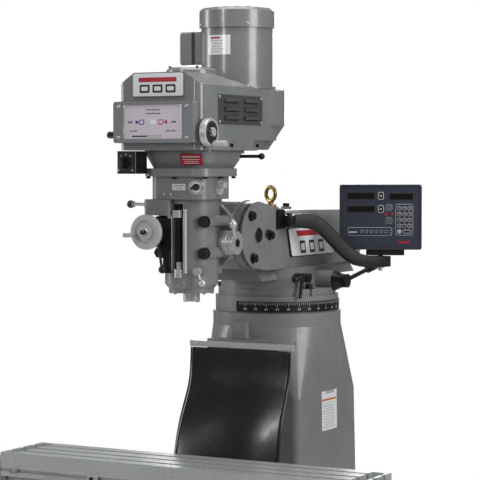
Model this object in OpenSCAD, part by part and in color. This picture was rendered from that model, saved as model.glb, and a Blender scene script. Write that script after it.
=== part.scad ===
// Turret milling machine with a variable-speed head, knee, saddle and T-slot table.
// X runs along the table, +Y points away from the operator, +Z is up.
// The origin is on the floor, on the turret's turning axis.

/* [Base and column] */
// Width of the base casting
base_w = 600; // [560:5:640]
// Thickness of the base casting
base_h = 110; // [105:1:115]
// Width of the column's box below the round neck
column_w = 360; // [352:2:368]
// Back face of the column
column_back = 230; // [225:1:245]
// Height of the round top of the column
column_top = 1147; // [1143:1:1147]
// Radius of the round top of the column
column_r = 208; // [204:1:210]
// Front face of the vertical ways
way_face = -235; // [-236:1:-235]
// Half-width of the vertical dovetail at its front face
way_half = 128; // [124:1:130]

/* [Turret and ram] */
// Radius of the turret's graduated base
turret_r = 200; // [198:1:202]
// Top face of the turret, which carries the ram
turret_top = 1291; // [1290:1:1292]
// Half-width of the ram's front cheeks
cheek_x = 120; // [118:1:121]
// Radius of the ram's round front cheeks
cheek_r = 103; // [100:1:103]
// Nod axis, Y
nod_y = -356; // [-358:1:-356]
// Height of the nod and tilt axes
tilt_z = 1403; // [1402:1:1404]

/* [Head] */
// Spindle axis, Y
spindle_y = -553; // [-553:1:-552]
// Radius of the quill
quill_r = 43; // [42.5:0.5:43]
// Radius of the parallel bore in the spindle nose
collet_r = 12.06; // [12.06:0.1:14.06]
// Motor axis, Y
motor_y = -270; // [-272:1:-268]
// Radius of the motor body
motor_r = 112; // [108:1:114]
// Top of the motor's fan cover
motor_top = 2103; // [2090:1:2110]

/* [Knee, saddle and table] */
// Height of the table's top with the knee at the bottom
table_top = 715; // [715:1:717]
// Length of the table
table_l = 1243; // [1200:1:1300]
// Width of the table
table_w = 229; // [225:1:235]
// Middle of the table, along X
table_x = -28.5; // [-30:0.5:-27]
// Width of each T-slot at the table's surface
slot_w = 16; // [14:1:18]
// Distance between neighbouring T-slots
slot_pitch = 64; // [62:1:66]
// Knee elevating screw, Y
screw_y = -370; // [-372:1:-368]

/* [Hidden] */
$fn = 64;
gap = 0.3;
run = 0.05;
head_face = -465.3;
hub_y = -503;
hub_z = 1384;
bolt_x = 75;
bolt_dz = 47;
table_y = -520;
table_half = table_w / 2;
knee_top = 525;
saddle_top = 639.7;
lead_z = 614;
tongue_x = 81.4;
tongue_r = cheek_r + 4;
belt_top = 1850;
pulley_z = 1780;

// ---- shared shapes

// A box from one corner to the other
module box(a, b) { translate(a) cube(b - a); }

// Straight cylinders along X, Y and Z; at holds the two other coordinates
module cyl_x(r, x0, x1, y, z) { translate([x0, y, z]) rotate([0, 90, 0]) cylinder(r = r, h = x1 - x0); }
module cyl_y(r, y0, y1, x, z) { translate([x, y1, z]) rotate([90, 0, 0]) cylinder(r = r, h = y1 - y0); }
module cyl_z(r, z0, z1, x = 0, y = 0) { translate([x, y, z0]) cylinder(r = r, h = z1 - z0); }

// A round bar between two points
module bar(p, q, r) {
    d = q - p;
    flat = norm([d.x, d.y]);
    translate(p) rotate([0, atan2(flat, d.z), atan2(d.y, d.x)]) cylinder(r = r, h = norm(d), $fn = 32);
}

module ball(p, r) { translate(p) sphere(r = r, $fn = 48); }

// A flat outline with round corners
module round_rect(x0, x1, y0, y1, r) {
    translate([x0 + r, y0]) square([x1 - x0 - 2 * r, y1 - y0]);
    translate([x0, y0 + r]) square([x1 - x0, y1 - y0 - 2 * r]);
    for (x = [x0 + r, x1 - r], y = [y0 + r, y1 - r]) translate([x, y]) circle(r = r);
}

module slab(x0, x1, y0, y1, z0, z1, r) {
    translate([0, 0, z0]) linear_extrude(z1 - z0) round_rect(x0, x1, y0, y1, r);
}

// An outline in X and Z pushed along Y, and one in Y and Z pushed along X
module along_y(y0, y1) { translate([0, y1, 0]) rotate([90, 0, 0]) linear_extrude(y1 - y0) children(); }
module along_x(x0, x1) {
    translate([x0, 0, 0]) rotate([90, 0, 90]) linear_extrude(x1 - x0) children();
}

// A symmetric dovetail outline: half-width w0 at height h0 and w1 at h1
module dovetail(w0, h0, w1, h1) { polygon([[-w0, h0], [w0, h0], [w1, h1], [-w1, h1]]); }

// A handwheel disc about X, with a rim, a web and a hub
module wheel_x(x, y, z, r, t) {
    translate([x, y, z]) rotate([0, 90, 0]) rotate_extrude()
        polygon([[0, 0], [0.34 * r, 0], [0.36 * r, 0.3 * t], [0.78 * r, 0.3 * t], [0.82 * r, 0],
            [0.97 * r, 0], [r, 0.15 * t], [r, 0.85 * t], [0.97 * r, t], [0.82 * r, t],
            [0.78 * r, 0.6 * t], [0.3 * r, 0.6 * t], [0.28 * r, 1.4 * t], [0, 1.4 * t]]);
}

// ---- base and column

module base() {
    color("dimgray") difference() {
        union() {
            slab(-base_w / 2, base_w / 2, -500, 330, 0, 88, 50);
            slab(-base_w / 2 + 14, base_w / 2 - 14, -486, 316, 88, base_h, 40);
        }
        box([-220, -466, 90], [220, -250, base_h + 1]);
        cyl_z(20.5, 12, 91, 0, screw_y);
        for (x = [-1, 1], y = [-450, 285]) cyl_z(9, -1, base_h + 1, x * (base_w / 2 - 50), y);
        for (x = [-212, 60], y = [-240, 40]) box([x, y, -1], [x + 152, y + 200, 62]);
    }
}

module column() {
    half = column_w / 2;
    color("gray") difference() {
        union() {
            hull() {
                slab(-half - 12, half + 12, -190, column_back + 15, base_h, base_h + 4, 30, $fn = 32);
                slab(-half, half, -190, column_back, 876, 880, 30, $fn = 32);
            }
            hull() {
                slab(-half, half, -190, column_back, 879, 880, 30, $fn = 32);
                cyl_z(column_r, 1100, 1104, $fn = 96);
            }
            cyl_z(column_r, 1104, column_top);
            translate([0, 0, base_h]) linear_extrude(1065 - base_h)
                dovetail(way_half - 26, -188, way_half, way_face);
            slab(-58, 8, -217, -150, 1066, 1120, 12);
        }
        box([-148, -160, base_h - 1], [148, 195, 1055]);
    }
}

module elevating_nut() {
    color("gray") difference() {
        union() {
            cyl_z(80, 90, 104, 0, screw_y);
            cyl_z(45, 104, 440, 0, screw_y);
        }
        cyl_z(20.5, 89, 401, 0, screw_y);
        cyl_z(16 + run, 400, 441, 0, screw_y);
    }
}

module way_cover_bar() {
    color("silver") {
        box([-185, way_face - 12, 1038], [185, way_face, 1057]);
        for (x = [-165, -55, 55, 165]) cyl_y(6.5, way_face - 16, way_face - 12, x, 1047.5, $fn = 32);
    }
}

// The rubber sheet's rest profile, from its clamped edge down
cover_line = [[-250.6, 1037], [-263, 1004], [-296, 942], [-330, 872], [-342, 800], [-352, 700], [-365, 612]];
module way_cover() {
    n = len(cover_line);
    color("#232323") along_x(-180, 180)
        polygon([for (i = [0:n - 1]) cover_line[i], for (i = [n - 1:-1:0]) cover_line[i] + [3, 1]]);
}

// ---- turret and ram

module turret() {
    color("gray") difference() {
        union() {
            cyl_z(turret_r, column_top + gap, 1200);
            cyl_z(turret_r - 9, 1200, 1223);
            intersection() {
                cyl_z(turret_r - 10, 1222, turret_top);
                box([-135, -188, 1222], [135, 188, turret_top]);
            }
            cyl_x(32, 134, 191.7, 40, 1244);
            for (y = [-58, 118]) box([128, y - 8, 1222], [158, y + 8, 1262]);
        }
        along_y(-200, 200) {
            dovetail(95 + gap, 1255 - gap, 75 + gap, turret_top);
            translate([-75 - gap, turret_top - 0.01]) square([150 + 2 * gap, 5]);
        }
        cyl_x(12 + run, 98, 193, 40, 1244);
        box([70, 26, 1230], [99, 54, 1262]);
        cyl_x(8 + run, 120, 136, -130, 1261);
        for (x = [-160, 160], y = [-85, 85]) cyl_z(10, 1190, 1224, x, y);
    }
}

module turret_scale() {
    color("#1c1c1c") difference() {
        cyl_z(turret_r + 3, 1151, 1184);
        cyl_z(turret_r, 1150, 1185);
        rotate([0, 0, 78]) box([-300, 0, 1150], [300, 300, 1185]);
    }
}

module turret_bolts() {
    color("#202020") for (x = [-160, 160], y = [-85, 85]) {
        cyl_z(10, 1190, 1223, x, y, $fn = 32);
        cyl_z(14.5, 1223, 1226, x, y, $fn = 32);
        cyl_z(13, 1226, 1238, x, y, $fn = 6);
    }
}

module ram_lock_lever() {
    color("#202020") {
        cyl_x(8, 121, 136, -130, 1261);
        cyl_x(14, 135 + gap, 186, -130, 1261);
        bar([172, -130, 1261], [172, -196, 1259], 8);
        bar([160, -130, 1256], [158, -146, 1196], 5.5);
    }
    color("silver") ball([172, -204, 1259], 11);
}

module ram_pinion() {
    color("silver") {
        cyl_x(10.4, 72, 98, 40, 1244);
        cyl_x(12, 98, 202, 40, 1244);
    }
}

module ram_drive_lever() {
    color("#202020") difference() {
        union() {
            translate([192, 40, 1244]) rotate([0, 90, 0]) cylinder(r1 = 33, r2 = 22, h = 26);
            cyl_x(22, 217, 238, 40, 1244);
            bar([227, 40, 1244], [227, 216, 1273.3], 7);
            bar([227, 214, 1273], [227, 316, 1290], 13);
        }
        cyl_x(12 + run, 190, 203, 40, 1244);
    }
}

// The ram's section behind the cheeks, with rounded upper edges
module ram_section() {
    translate([-110, turret_top + gap]) square([220, 130]);
    translate([-65, turret_top + gap]) square([130, 184.7]);
    for (x = [-65, 65]) translate([x, 1431]) circle(r = 45);
    translate([-110, 1400]) square([220, 31]);
}

module ram() {
    color("gray") difference() {
        union() {
            intersection() {
                along_y(-200, 480) ram_section();
                along_x(-130, 130) polygon([[-200, turret_top + gap], [386, turret_top + gap],
                    [465, 1436], [331, 1466], [-150, 1477], [-200, 1477]]);
            }
            along_x(-cheek_x, cheek_x) polygon([[nod_y, 1301], [-300, turret_top + gap],
                [-188, turret_top + gap], [-188, 1478], [nod_y + 30, tilt_z + cheek_r - 4],
                [nod_y, tilt_z + cheek_r]]);
            cyl_x(cheek_r, -cheek_x, cheek_x, nod_y, tilt_z);
            along_y(-280, 386) dovetail(94.6, 1255, 74, turret_top + 1);
            for (p = [[26, -45, 1482], [17, 64, 1481]]) cyl_z(p[0], 1460, p[2], 0, p[1]);
            cyl_z(17, 1470, 1489, 0, -188);
        }
        cyl_x(tongue_r + 1, -tongue_x - gap, tongue_x + gap, nod_y, tilt_z);
        box([-tongue_x - gap, nod_y - 120, 1250], [tongue_x + gap, nod_y, 1520]);
        cyl_x(22 + run, -cheek_x - 1, cheek_x + 1, nod_y, tilt_z);
        for (p = lock_points) cyl_x(8, -cheek_x - 1, cheek_x + 1, p[0], p[1]);
        cyl_z(8, 1450, 1483, 0, -45);
    }
}

lock_points = [[nod_y - 45, tilt_z + 60], [nod_y - 32, tilt_z - 70], [nod_y + 76, tilt_z - 3]];

module eye_bolt() {
    color("#967d4b") {
        cyl_z(8, 1451, 1482, 0, -45, $fn = 32);
        cyl_z(19, 1482, 1490, 0, -45);
        cyl_z(10, 1490, 1500, 0, -45, $fn = 32);
        translate([0, -45, 1524]) rotate([90, 0, -21]) rotate_extrude() translate([22, 0]) circle(r = 6.5);
    }
}

module ram_bolts() {
    color("#202020") {
        for (p = lock_points, s = [-1, 1]) {
            cyl_x(8, s > 0 ? tongue_x + 1 : -cheek_x, s > 0 ? cheek_x : -tongue_x - 1, p[0], p[1], $fn = 32);
            cyl_x(16, s > 0 ? cheek_x : -cheek_x - 3, s > 0 ? cheek_x + 3 : -cheek_x, p[0], p[1], $fn = 32);
            cyl_x(13, s > 0 ? cheek_x + 3 : -cheek_x - 14, s > 0 ? cheek_x + 14 : -cheek_x - 3, p[0],
                p[1], $fn = 6);
        }
        cyl_z(12, 1489, 1500, 0, -188, $fn = 6);
        cyl_z(12, 1481, 1492, 0, 64, $fn = 6);
    }
}

// ---- digital readout

module dro_bracket() {
    color("#1c1c1c") {
        box([cheek_x, -236, 1418], [cheek_x + 8, -190, 1478]);
        cyl_z(16, 1424, 1432, 152, -205);
        box([cheek_x + 8, -221, 1424], [152, -189, 1432]);
        cyl_z(8, 1432, 1462, 152, -205, $fn = 32);
    }
}

module dro_arm() {
    elbow = [158, -110, 1440];
    dip = [214, -16, 1330];
    tip = [340, 66, 1316];
    color("#1c1c1c") difference() {
        union() {
            cyl_z(17, 1432 + gap, 1456, 152, -205);
            bar([152, -205, 1444], elbow, 11);
            ball(elbow, 13);
            bar(elbow, dip, 11);
            ball(dip, 13);
            bar(dip, tip + [-8, -5, 0], 11);
            cyl_z(19, 1302, 1328, tip.x, tip.y);
        }
        cyl_z(8 + run, 1431, 1457, 152, -205);
        cyl_z(8 + run, 1310, 1329, tip.x, tip.y);
    }
}

module dro_display() {
    color("#2d2f3a") translate([340, 66, 0]) rotate([0, 0, 25]) {
        cyl_z(8, 1311, 1335, 0, 0, $fn = 32);
        translate([-26, -22, 1334]) cube([52, 44, 13]);
        difference() {
            along_y(-30, 26) round_rect(-131, 131, 1347, 1555, 8);
            along_y(-31, -27) round_rect(-124, 124, 1354, 1548, 5);
        }
    }
}

// ---- tilting head

module adapter() {
    color("gray") difference() {
        union() {
            cyl_y(108, head_face, head_face + 5.7, 0, tilt_z, $fn = 96);
            cyl_x(tongue_r, -tongue_x, tongue_x, nod_y, tilt_z, $fn = 96);
            box([-tongue_x, head_face + 5, tilt_z - 70], [tongue_x, nod_y, tilt_z + 70]);
        }
        cyl_x(22, -tongue_x - 1, tongue_x + 1, nod_y, tilt_z);
        box([-200, head_face - 20, 1200], [200, head_face, 1600]);
    }
}

module nod_pin() {
    color("silver") cyl_x(22, -cheek_x - 3, cheek_x + 3, nod_y, tilt_z);
}

module head() {
    back = head_face - gap;
    color("gray") difference() {
        union() {
            cyl_z(80, 1262, 1516, 0, spindle_y, $fn = 96);
            translate([0, spindle_y, 1250]) cylinder(r1 = 70, r2 = 80, h = 12, $fn = 96);
            cyl_z(68, 1236, 1250, 0, spindle_y);
            box([-56, spindle_y, 1290], [56, back, 1516]);
            cyl_y(108, back - 15, back, 0, tilt_z, $fn = 96);
            cyl_x(38, 50, 94, hub_y, hub_z);
            cyl_x(30, -80, -50, hub_y, hub_z);
            for (x = [-bolt_x, bolt_x], z = [tilt_z - bolt_dz, tilt_z + bolt_dz])
                cyl_y(17, -602, back - 5, x, z, $fn = 32);
            cyl_y(15, -613, -580, 62, 1303, $fn = 32);
        }
        cyl_z(quill_r + run, 1200, 1530, 0, spindle_y, $fn = 96);
        box([-16, -640, 1283], [16, -609, 1502]);
        box([-9, -615, 1300], [9, -590, 1500]);
        cyl_z(6, 1270, 1512, 0, -625, $fn = 32);
        cyl_x(13 + run, -62, 95, hub_y, hub_z);
        cyl_x(39, 94, 140, hub_y, hub_z);
        for (x = [-bolt_x, bolt_x], z = [tilt_z - bolt_dz, tilt_z + bolt_dz])
            union() {
                cyl_y(10.5, -610, back + 1, x, z, $fn = 32);
                cyl_y(19.5, -640, -602, x, z);
            }
        cyl_y(7 + run, -614, -600, 62, 1303, $fn = 32);
        cyl_y(13, -640, -613, 62, 1303);
        box([-200, back, 1100], [200, back + 60, 1700]);
    }
}

module gear_case() {
    color("gray") difference() {
        union() {
            slab(-95, 95, -650, -464, 1516, 1584, 40);
            slab(-112, 112, -668, -440, 1584, 1608, 46);
            cyl_x(26, 92, 96, -560, 1550);
        }
        cyl_z(34, 1515, 1609, 0, spindle_y);
        cyl_x(7 + run, 80, 97, -560, 1550);
    }
}

module gear_housing() {
    color("gray") difference() {
        hull() {
            slab(-94, 94, -648, -428, 1608, 1609, 44, $fn = 32);
            slab(-118, 118, -664, -400, 1655, 1661, 50, $fn = 32);
        }
        cyl_z(34, 1607, 1662, 0, spindle_y);
        cyl_z(6 + run, 1645, 1662, 92, -432);
        box([70, -455, 1636], [140, -390, 1652]);
    }
}

// The belt housing's outer shape, pulled in by t for the space inside it
module belt_volume(t, low, high) {
    intersection() {
        union() {
            slab(-140 + t, 140 - t, -740 + t, -400, low, 1888 - t, 24);
            cyl_z(149 - t, 1742, high, 0, motor_y, $fn = 96);
            translate([0, motor_y, low + 4])
                cylinder(r1 = 98 - t, r2 = 149 - t, h = 1742 - low - 4, $fn = 96);
            slab(-140 + t, 140 - t, -470, motor_y, low + 32, high, 2);
        }
        along_x(-160, 160) polygon([[-760, 1600], [-760, 1888 - t], [-570, 1888 - t], [-405, high],
            [-100, high], [-100, 1600]]);
        along_y(-760, -100) polygon([[-160, 1600], [160, 1600], [160, 1838 - t], [86, 1888 - t],
            [-86, 1888 - t], [-160, 1838 - t]]);
    }
}

module belt_housing() {
    color("gray") difference() {
        union() {
            belt_volume(0, 1661, belt_top);
            box([-86, -746, 1816], [86, -738, 1886]);
        }
        difference() {
            belt_volume(7, 1668, belt_top - 7);
            cyl_z(82, 1840, 1890, 0, spindle_y);
        }
        cyl_z(36, 1655, 1672, 0, spindle_y);
        cyl_z(24, 1800, 1890, 0, spindle_y);
        cyl_z(26, 1838, 1852, 0, motor_y);
        cyl_x(8 + run, 125, 141, -727, 1712);
    }
}

module speed_panel() {
    color("gray") difference() {
        along_y(-776, -746) round_rect(-135, 135, 1682, 1803, 8);
        along_y(-777, -773) round_rect(-97, 97, 1694, 1791, 4);
    }
    color("gray") along_y(-746, -740) round_rect(-118, 118, 1694, 1791, 6);
}

module speed_handwheel() {
    color("silver") {
        cyl_x(8, 126, 141, -727, 1712);
        cyl_x(17, 140 + gap, 150, -727, 1712);
        wheel_x(150, -727, 1712, 41, 20);
        cyl_x(5, 166, 178, -727, 1680, $fn = 32);
    }
    color("#202020") cyl_x(9, 178, 218, -727, 1680, $fn = 32);
}

module switch_box() {
    color("#202020") difference() {
        slab(-150, -85, -735, -665, 1592, 1659, 6);
        cyl_y(4 + run, -736, -720, -117, 1626, $fn = 32);
    }
}

module switch_knob() {
    color("#202020") {
        cyl_y(4, -736, -721, -117, 1626, $fn = 32);
        cyl_y(17, -742, -735 - gap, -117, 1626);
        box([-121.5, -758, 1609], [-112.5, -742, 1643]);
    }
}

module drawbar_cap() {
    color("gray") difference() {
        union() {
            cyl_z(75, 1888, 1900, 0, spindle_y);
            translate([0, spindle_y, 1900]) cylinder(r1 = 75, r2 = 66, h = 8);
        }
        cyl_z(24, 1887, 1902, 0, spindle_y);
    }
}

module motor() {
    color("gray") difference() {
        union() {
            cyl_z(122, belt_top, 1860, 0, motor_y, $fn = 96);
            cyl_z(motor_r, 1860, 2041, 0, motor_y, $fn = 96);
        }
        cyl_z(13, 1849, 1990, 0, motor_y);
    }
}

module fan_cover() {
    color("gray") translate([0, motor_y, 0]) rotate_extrude($fn = 96)
        polygon([[0, 2041], [motor_r + 5.6, 2041], [motor_r + 5.6, motor_top - 8], [motor_r - 2, motor_top],
            [0, motor_top]]);
}

module terminal_box() {
    color("gray") difference() {
        along_x(-170, -90) round_rect(-330, -228, 1930, 2034, 10);
        cyl_z(motor_r, 1900, 2041, 0, motor_y, $fn = 96);
    }
}

module head_bolts() {
    for (x = [-bolt_x, bolt_x], z = [tilt_z - bolt_dz, tilt_z + bolt_dz]) {
        color("silver") cyl_y(10.5, -602, head_face - gap, x, z, $fn = 32);
        color("#202020") {
            cyl_y(18, -605, -602, x, z, $fn = 32);
            cyl_y(17, -620, -605, x, z, $fn = 6);
        }
    }
}

module feed_gear_case() {
    color("gray") difference() {
        slab(-108, -18, -656, -590, 1468, 1515.7, 14);
        cyl_z(80, 1450, 1530, 0, spindle_y, $fn = 96);
        cyl_y(19.5, -660, -540, -bolt_x, tilt_z + bolt_dz);
        cyl_x(6 + run, -109, -95, -622, 1500, $fn = 32);
    }
}

module trip_housing() {
    color("#1f1f1f") difference() {
        union() {
            slab(-86, -20, -636, -580, 1345, 1458, 8);
            slab(-52, -20, -640, -600, 1296, 1345, 8);
            cyl_y(12, -650, -634, -68, 1420);
        }
        cyl_z(80, 1290, 1470, 0, spindle_y, $fn = 96);
        cyl_y(6 + run, -651, -604, -68, 1420, $fn = 32);
        cyl_y(5 + run, -637, -615, -62, 1386, $fn = 32);
        for (s = [-1, 1]) cyl_y(19.5, -660, -540, -bolt_x, tilt_z + s * bolt_dz);
        box([-60, -615, 1290], [-19, -560, 1345]);
    }
}

module fine_feed_handwheel() {
    color("silver") {
        cyl_y(6, -651, -606, -68, 1420, $fn = 32);
        cyl_y(15, -694, -650 - gap, -68, 1420);
        translate([-68, -694, 1420]) rotate([90, 0, 0]) rotate_extrude()
            polygon([[0, 0], [50, 0], [52, 2], [52, 12], [50, 14], [36, 14], [33, 9], [24, 9], [22, 16],
                [0, 16]]);
    }
    color("#333333") cyl_y(7, -762, -706, -106, 1412, $fn = 32);
}

module feed_trip_lever() {
    color("#202020") {
        cyl_y(5, -637, -616, -62, 1386, $fn = 32);
        cyl_y(11, -652, -636 - gap, -62, 1386);
        bar([-62, -646, 1386], [-36, -666, 1312], 4);
        ball([-34, -667, 1308], 11.5);
    }
}

module feed_selector() {
    color("silver") {
        cyl_x(6, -109, -96, -622, 1500, $fn = 32);
        cyl_x(13, -118, -108 - gap, -622, 1500);
        cyl_x(5, -160, -118, -622, 1500, $fn = 32);
    }
    color("#202020") cyl_x(9, -180, -160, -622, 1500);
}

module quill_feed_lever() {
    color("silver") {
        cyl_x(13, -60, 95, hub_y, hub_z);
        cyl_x(35, 108, 130, hub_y, hub_z);
        bar([120, hub_y, hub_z], [134, hub_y - 34, hub_z + 48], 6);
        ball([137, hub_y - 41, hub_z + 58], 13.5);
    }
    color("#1c1c1c") cyl_x(36.5, 94 + gap, 108, hub_y, hub_z);
}

module quill_lock_lever() {
    color("silver") {
        cyl_y(7, -614, -601, 62, 1303, $fn = 32);
        cyl_y(12, -634, -613 - gap, 62, 1303);
        bar([62, -626, 1303], [80, -630, 1273], 4.5);
        ball([82, -630, 1269], 11);
    }
}

module gear_range_lever() {
    color("silver") {
        cyl_x(7, 81, 97, -560, 1550);
        cyl_x(22, 96 + gap, 103, -560, 1550);
        cyl_x(5, 103, 112, -572, 1558, $fn = 32);
    }
    color("#202020") cyl_x(10, 112, 128, -572, 1558);
}

module brake_lever() {
    color("#202020") {
        cyl_z(6, 1646, 1660, 92, -432);
        cyl_z(11, 1638, 1650, 92, -432);
        bar([92, -432, 1644], [158, -416, 1644], 5);
        ball([164, -414, 1644], 10);
    }
}

module depth_stop_rod() {
    color("silver") cyl_z(6, 1270, 1512, 0, -625, $fn = 32);
}

module depth_stop_nut() {
    color("silver") difference() {
        union() {
            cyl_z(14.5, 1283 + gap, 1308, 0, -627);
            cyl_z(9.5, 1308, 1330, 0, -625, $fn = 32);
        }
        cyl_z(6 + run, 1282, 1331, 0, -625, $fn = 32);
    }
}

module quill() {
    color("silver") difference() {
        union() {
            cyl_z(quill_r, 1236, 1514, 0, spindle_y, $fn = 96);
            box([-8, -614, 1462], [8, -590, 1484]);
            slab(-13, 13, -646, -612, 1462, 1484, 3);
        }
        cyl_z(25 + run, 1235, 1515, 0, spindle_y);
        cyl_z(6.6, 1460, 1486, 0, -625, $fn = 32);
        box([-30, hub_y - 13 - gap, 1366], [30, -500, 1515]);
    }
}

module spindle() {
    color("silver") difference() {
        union() {
            cyl_z(25, 1209, 1500, 0, spindle_y);
            cyl_z(14, 1500, 1838, 0, spindle_y);
            for (s = [-1, 1]) box([s * 20 - 3, spindle_y - 8, 1206.5], [s * 20 + 3, spindle_y + 8, 1210]);
        }
        cyl_z(collet_r, 1200, 1300, 0, spindle_y);
        cyl_z(6, 1299, 1839, 0, spindle_y);
        translate([0, spindle_y, 1208.9])
            cylinder(r1 = collet_r + 3.5, r2 = collet_r, h = 12);
    }
}

module drawbar() {
    color("silver") {
        cyl_z(5.5, 1301, 1838 + gap, 0, spindle_y);
        cyl_z(11, 1838 + gap, 1846, 0, spindle_y, $fn = 6);
        cyl_z(8, 1846, 1868, 0, spindle_y, $fn = 32);
    }
}

// A two-part V sheave with a waist for the belt
module sheave(y, bore) {
    color("silver") translate([0, y, 0]) rotate_extrude()
        polygon([[bore, 1700], [26, 1700], [26, 1752], [80, 1756], [82, 1760], [76.5, pulley_z - 9.5],
            [68.5, pulley_z - 9], [68.5, pulley_z + 9], [76.5, pulley_z + 9.5], [82, 1800], [80, 1804],
            [26, 1808], [26, 1832], [bore, 1832]]);
}

module spindle_pulley() { sheave(spindle_y, 14 + run); }

module motor_pulley() {
    sheave(motor_y, 11);
    color("silver") cyl_z(11, 1695, 1980, 0, motor_y);
}

// The belt's loop, grown outwards by t from its inner line
module belt_loop(t) {
    for (y = [spindle_y, motor_y]) translate([0, y]) circle(r = 69 + t);
    translate([-69 - t, spindle_y]) square([2 * (69 + t), motor_y - spindle_y]);
}

module drive_belt() {
    color("#202020") translate([0, 0, pulley_z - 8.5]) linear_extrude(17) difference() {
        belt_loop(8);
        belt_loop(0);
    }
}

// ---- knee, saddle and table

module knee() {
    back = -197;
    color("gray") difference() {
        union() {
            along_x(-150, 150) polygon([[-245, 152], [-330, 152], [-790, 400], [-790, knee_top],
                [-245, knee_top]]);
            box([-168, -262, 152], [168, back, knee_top]);
            along_y(-790, -245) dovetail(96, knee_top - 1, 116, 560);
            translate([0, screw_y, 433]) rotate([0, 90, -135]) translate([0, 0, 172])
                cylinder(r = 34, h = 132);
            cyl_y(34, -807, -788, 0, 490);
        }
        translate([0, 0, 100]) linear_extrude(500)
            dovetail(way_half - 26 + gap, -188, way_half + gap, way_face - gap);
        slab(-112, 112, -740, -262, 100, 486, 20);
        cyl_z(12 + run, 480, 520, 0, screw_y);
        translate([0, screw_y, 433]) rotate([0, 90, -135]) cylinder(r = 12 + run, h = 320);
        cyl_y(11 + run, -808, -400, 0, 490);
        box([-30, -770, 520], [30, -300, 561]);
        cyl_x(7 + run, -170, -140, -226, 430);
    }
}

module knee_crank() {
    color("silver") translate([0, screw_y, 433]) rotate([0, 90, -135]) {
        translate([0, 0, 48]) cylinder(r = 12, h = 400);
        translate([0, 0, 50]) cylinder(r1 = 14, r2 = 21, h = 16);
        translate([0, 0, 304 + gap]) cylinder(r = 30, h = 20);
        translate([0, 0, 422]) cylinder(r = 22, h = 30);
        translate([-118, -11, 430]) cube([118, 22, 14]);
        translate([-110, 0, 440]) cylinder(r = 6, h = 14);
    }
    color("#202020") translate([0, screw_y, 433]) rotate([0, 90, -135])
        translate([-110, 0, 454]) cylinder(r1 = 11, r2 = 14, h = 84);
}

module knee_screw() {
    color("silver") {
        cyl_z(16, 16, 452, 0, screw_y);
        cyl_z(12, 452, 519, 0, screw_y);
        translate([0, screw_y, 457]) rotate_extrude()
            polygon([[12, 0], [44, 0], [60, 12], [60, 18], [12, 18]]);
    }
}

module knee_lock_lever() {
    color("#202020") {
        cyl_x(7, -169, -141, -226, 430, $fn = 32);
        cyl_x(15, -186, -168 - gap, -226, 430);
        bar([-178, -226, 430], [-182, -316, 446], 7);
        ball([-182, -322, 447], 13);
    }
}

module saddle() {
    y0 = -645;
    y1 = -395;
    color("gray") difference() {
        union() {
            box([-215, y0 + 30, knee_top + gap], [215, y1, saddle_top]);
            box([-150, y0, knee_top + gap], [150, y0 + 31, 600]);
            box([-26, table_y - 24, 590], [26, table_y + 24, 637]);
        }
        along_y(y0 - 1, y1 + 1) {
            dovetail(96 + gap, knee_top - 1, 116 + gap, 560 + gap);
        }
        difference() {
            along_x(-220, 220) translate([table_y, 0])
                dovetail(90 + gap, 600 - gap, 70 + gap, saddle_top + 1);
            box([-26, table_y - 24, 590], [26, table_y + 24, 637]);
        }
        cyl_x(13 + run, -30, 30, table_y, lead_z);
        cyl_y(6 + run, y0 + 20, -608, 120, 616, $fn = 32);
        cyl_x(6 + run, -216, -190, -480, 560, $fn = 32);
    }
}

module cross_handwheel() {
    color("silver") {
        cyl_y(11, -870, -401, 0, 490);
        cyl_y(30, -850, -807 - gap, 0, 490);
        translate([0, -850, 490]) rotate([90, 0, 0]) rotate_extrude()
            polygon([[11, 0], [30, 0], [34, 8], [72, 12], [78, 4], [92, 4], [95, 8], [95, 18], [92, 22],
                [78, 22], [72, 18], [30, 15], [26, 26], [11, 26]]);
        cyl_y(5, -882, -870, 84, 490, $fn = 32);
    }
    color("#202020") cyl_y(11, -956, -882, 84, 490);
}

module saddle_lock_lever() {
    color("#202020") {
        cyl_x(6, -215, -191, -480, 560, $fn = 32);
        cyl_x(13, -232, -215 - gap, -480, 560);
        bar([-224, -480, 560], [-228, -552, 548], 6);
        ball([-228, -558, 547], 12);
    }
}

module t_slot(y) {
    along_x(table_x - table_l, table_x + table_l) translate([y, 0]) {
        translate([-slot_w / 2, table_top - 32]) square([slot_w, 33]);
        translate([-14, table_top - 33]) square([28, 13]);
    }
}

module table() {
    x0 = table_x - table_l / 2;
    x1 = table_x + table_l / 2;
    y0 = table_y - table_half;
    y1 = table_y + table_half;
    color("silver") difference() {
        union() {
            box([x0, y0, 640], [x1, y1, table_top]);
            along_x(x0, x1) translate([table_y, 0]) dovetail(90, 600, 70, 641);
        }
        for (i = [-1:1]) t_slot(table_y + i * slot_pitch);
        for (x = [x0 + 12, x1 - 54]) box([x, y0 + 14, table_top - 22], [x + 42, y1 - 14, table_top + 1]);
        box([x0 - 1, y0 - 1, 654], [x1 + 1, y0 + 8, 665]);
        box([x0 - 1, table_y - 27, 590], [x1 + 1, table_y + 27, 640]);
    }
}

module table_brackets() {
    x0 = table_x - table_l / 2;
    x1 = table_x + table_l / 2;
    color("gray") for (e = [[x0 - 28, x0], [x1, x1 + 28]]) difference() {
        along_x(e[0], e[1]) round_rect(table_y - 88, table_y + 88, 570, 696, 22);
        cyl_x(13 + run, e[0] - 1, e[1] + 1, table_y, lead_z);
    }
    color("#202020") bar([x0 + 60, table_y - table_half - 26, 659.5], [x0 + 60, table_y - table_half, 659.5], 6);
}

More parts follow.
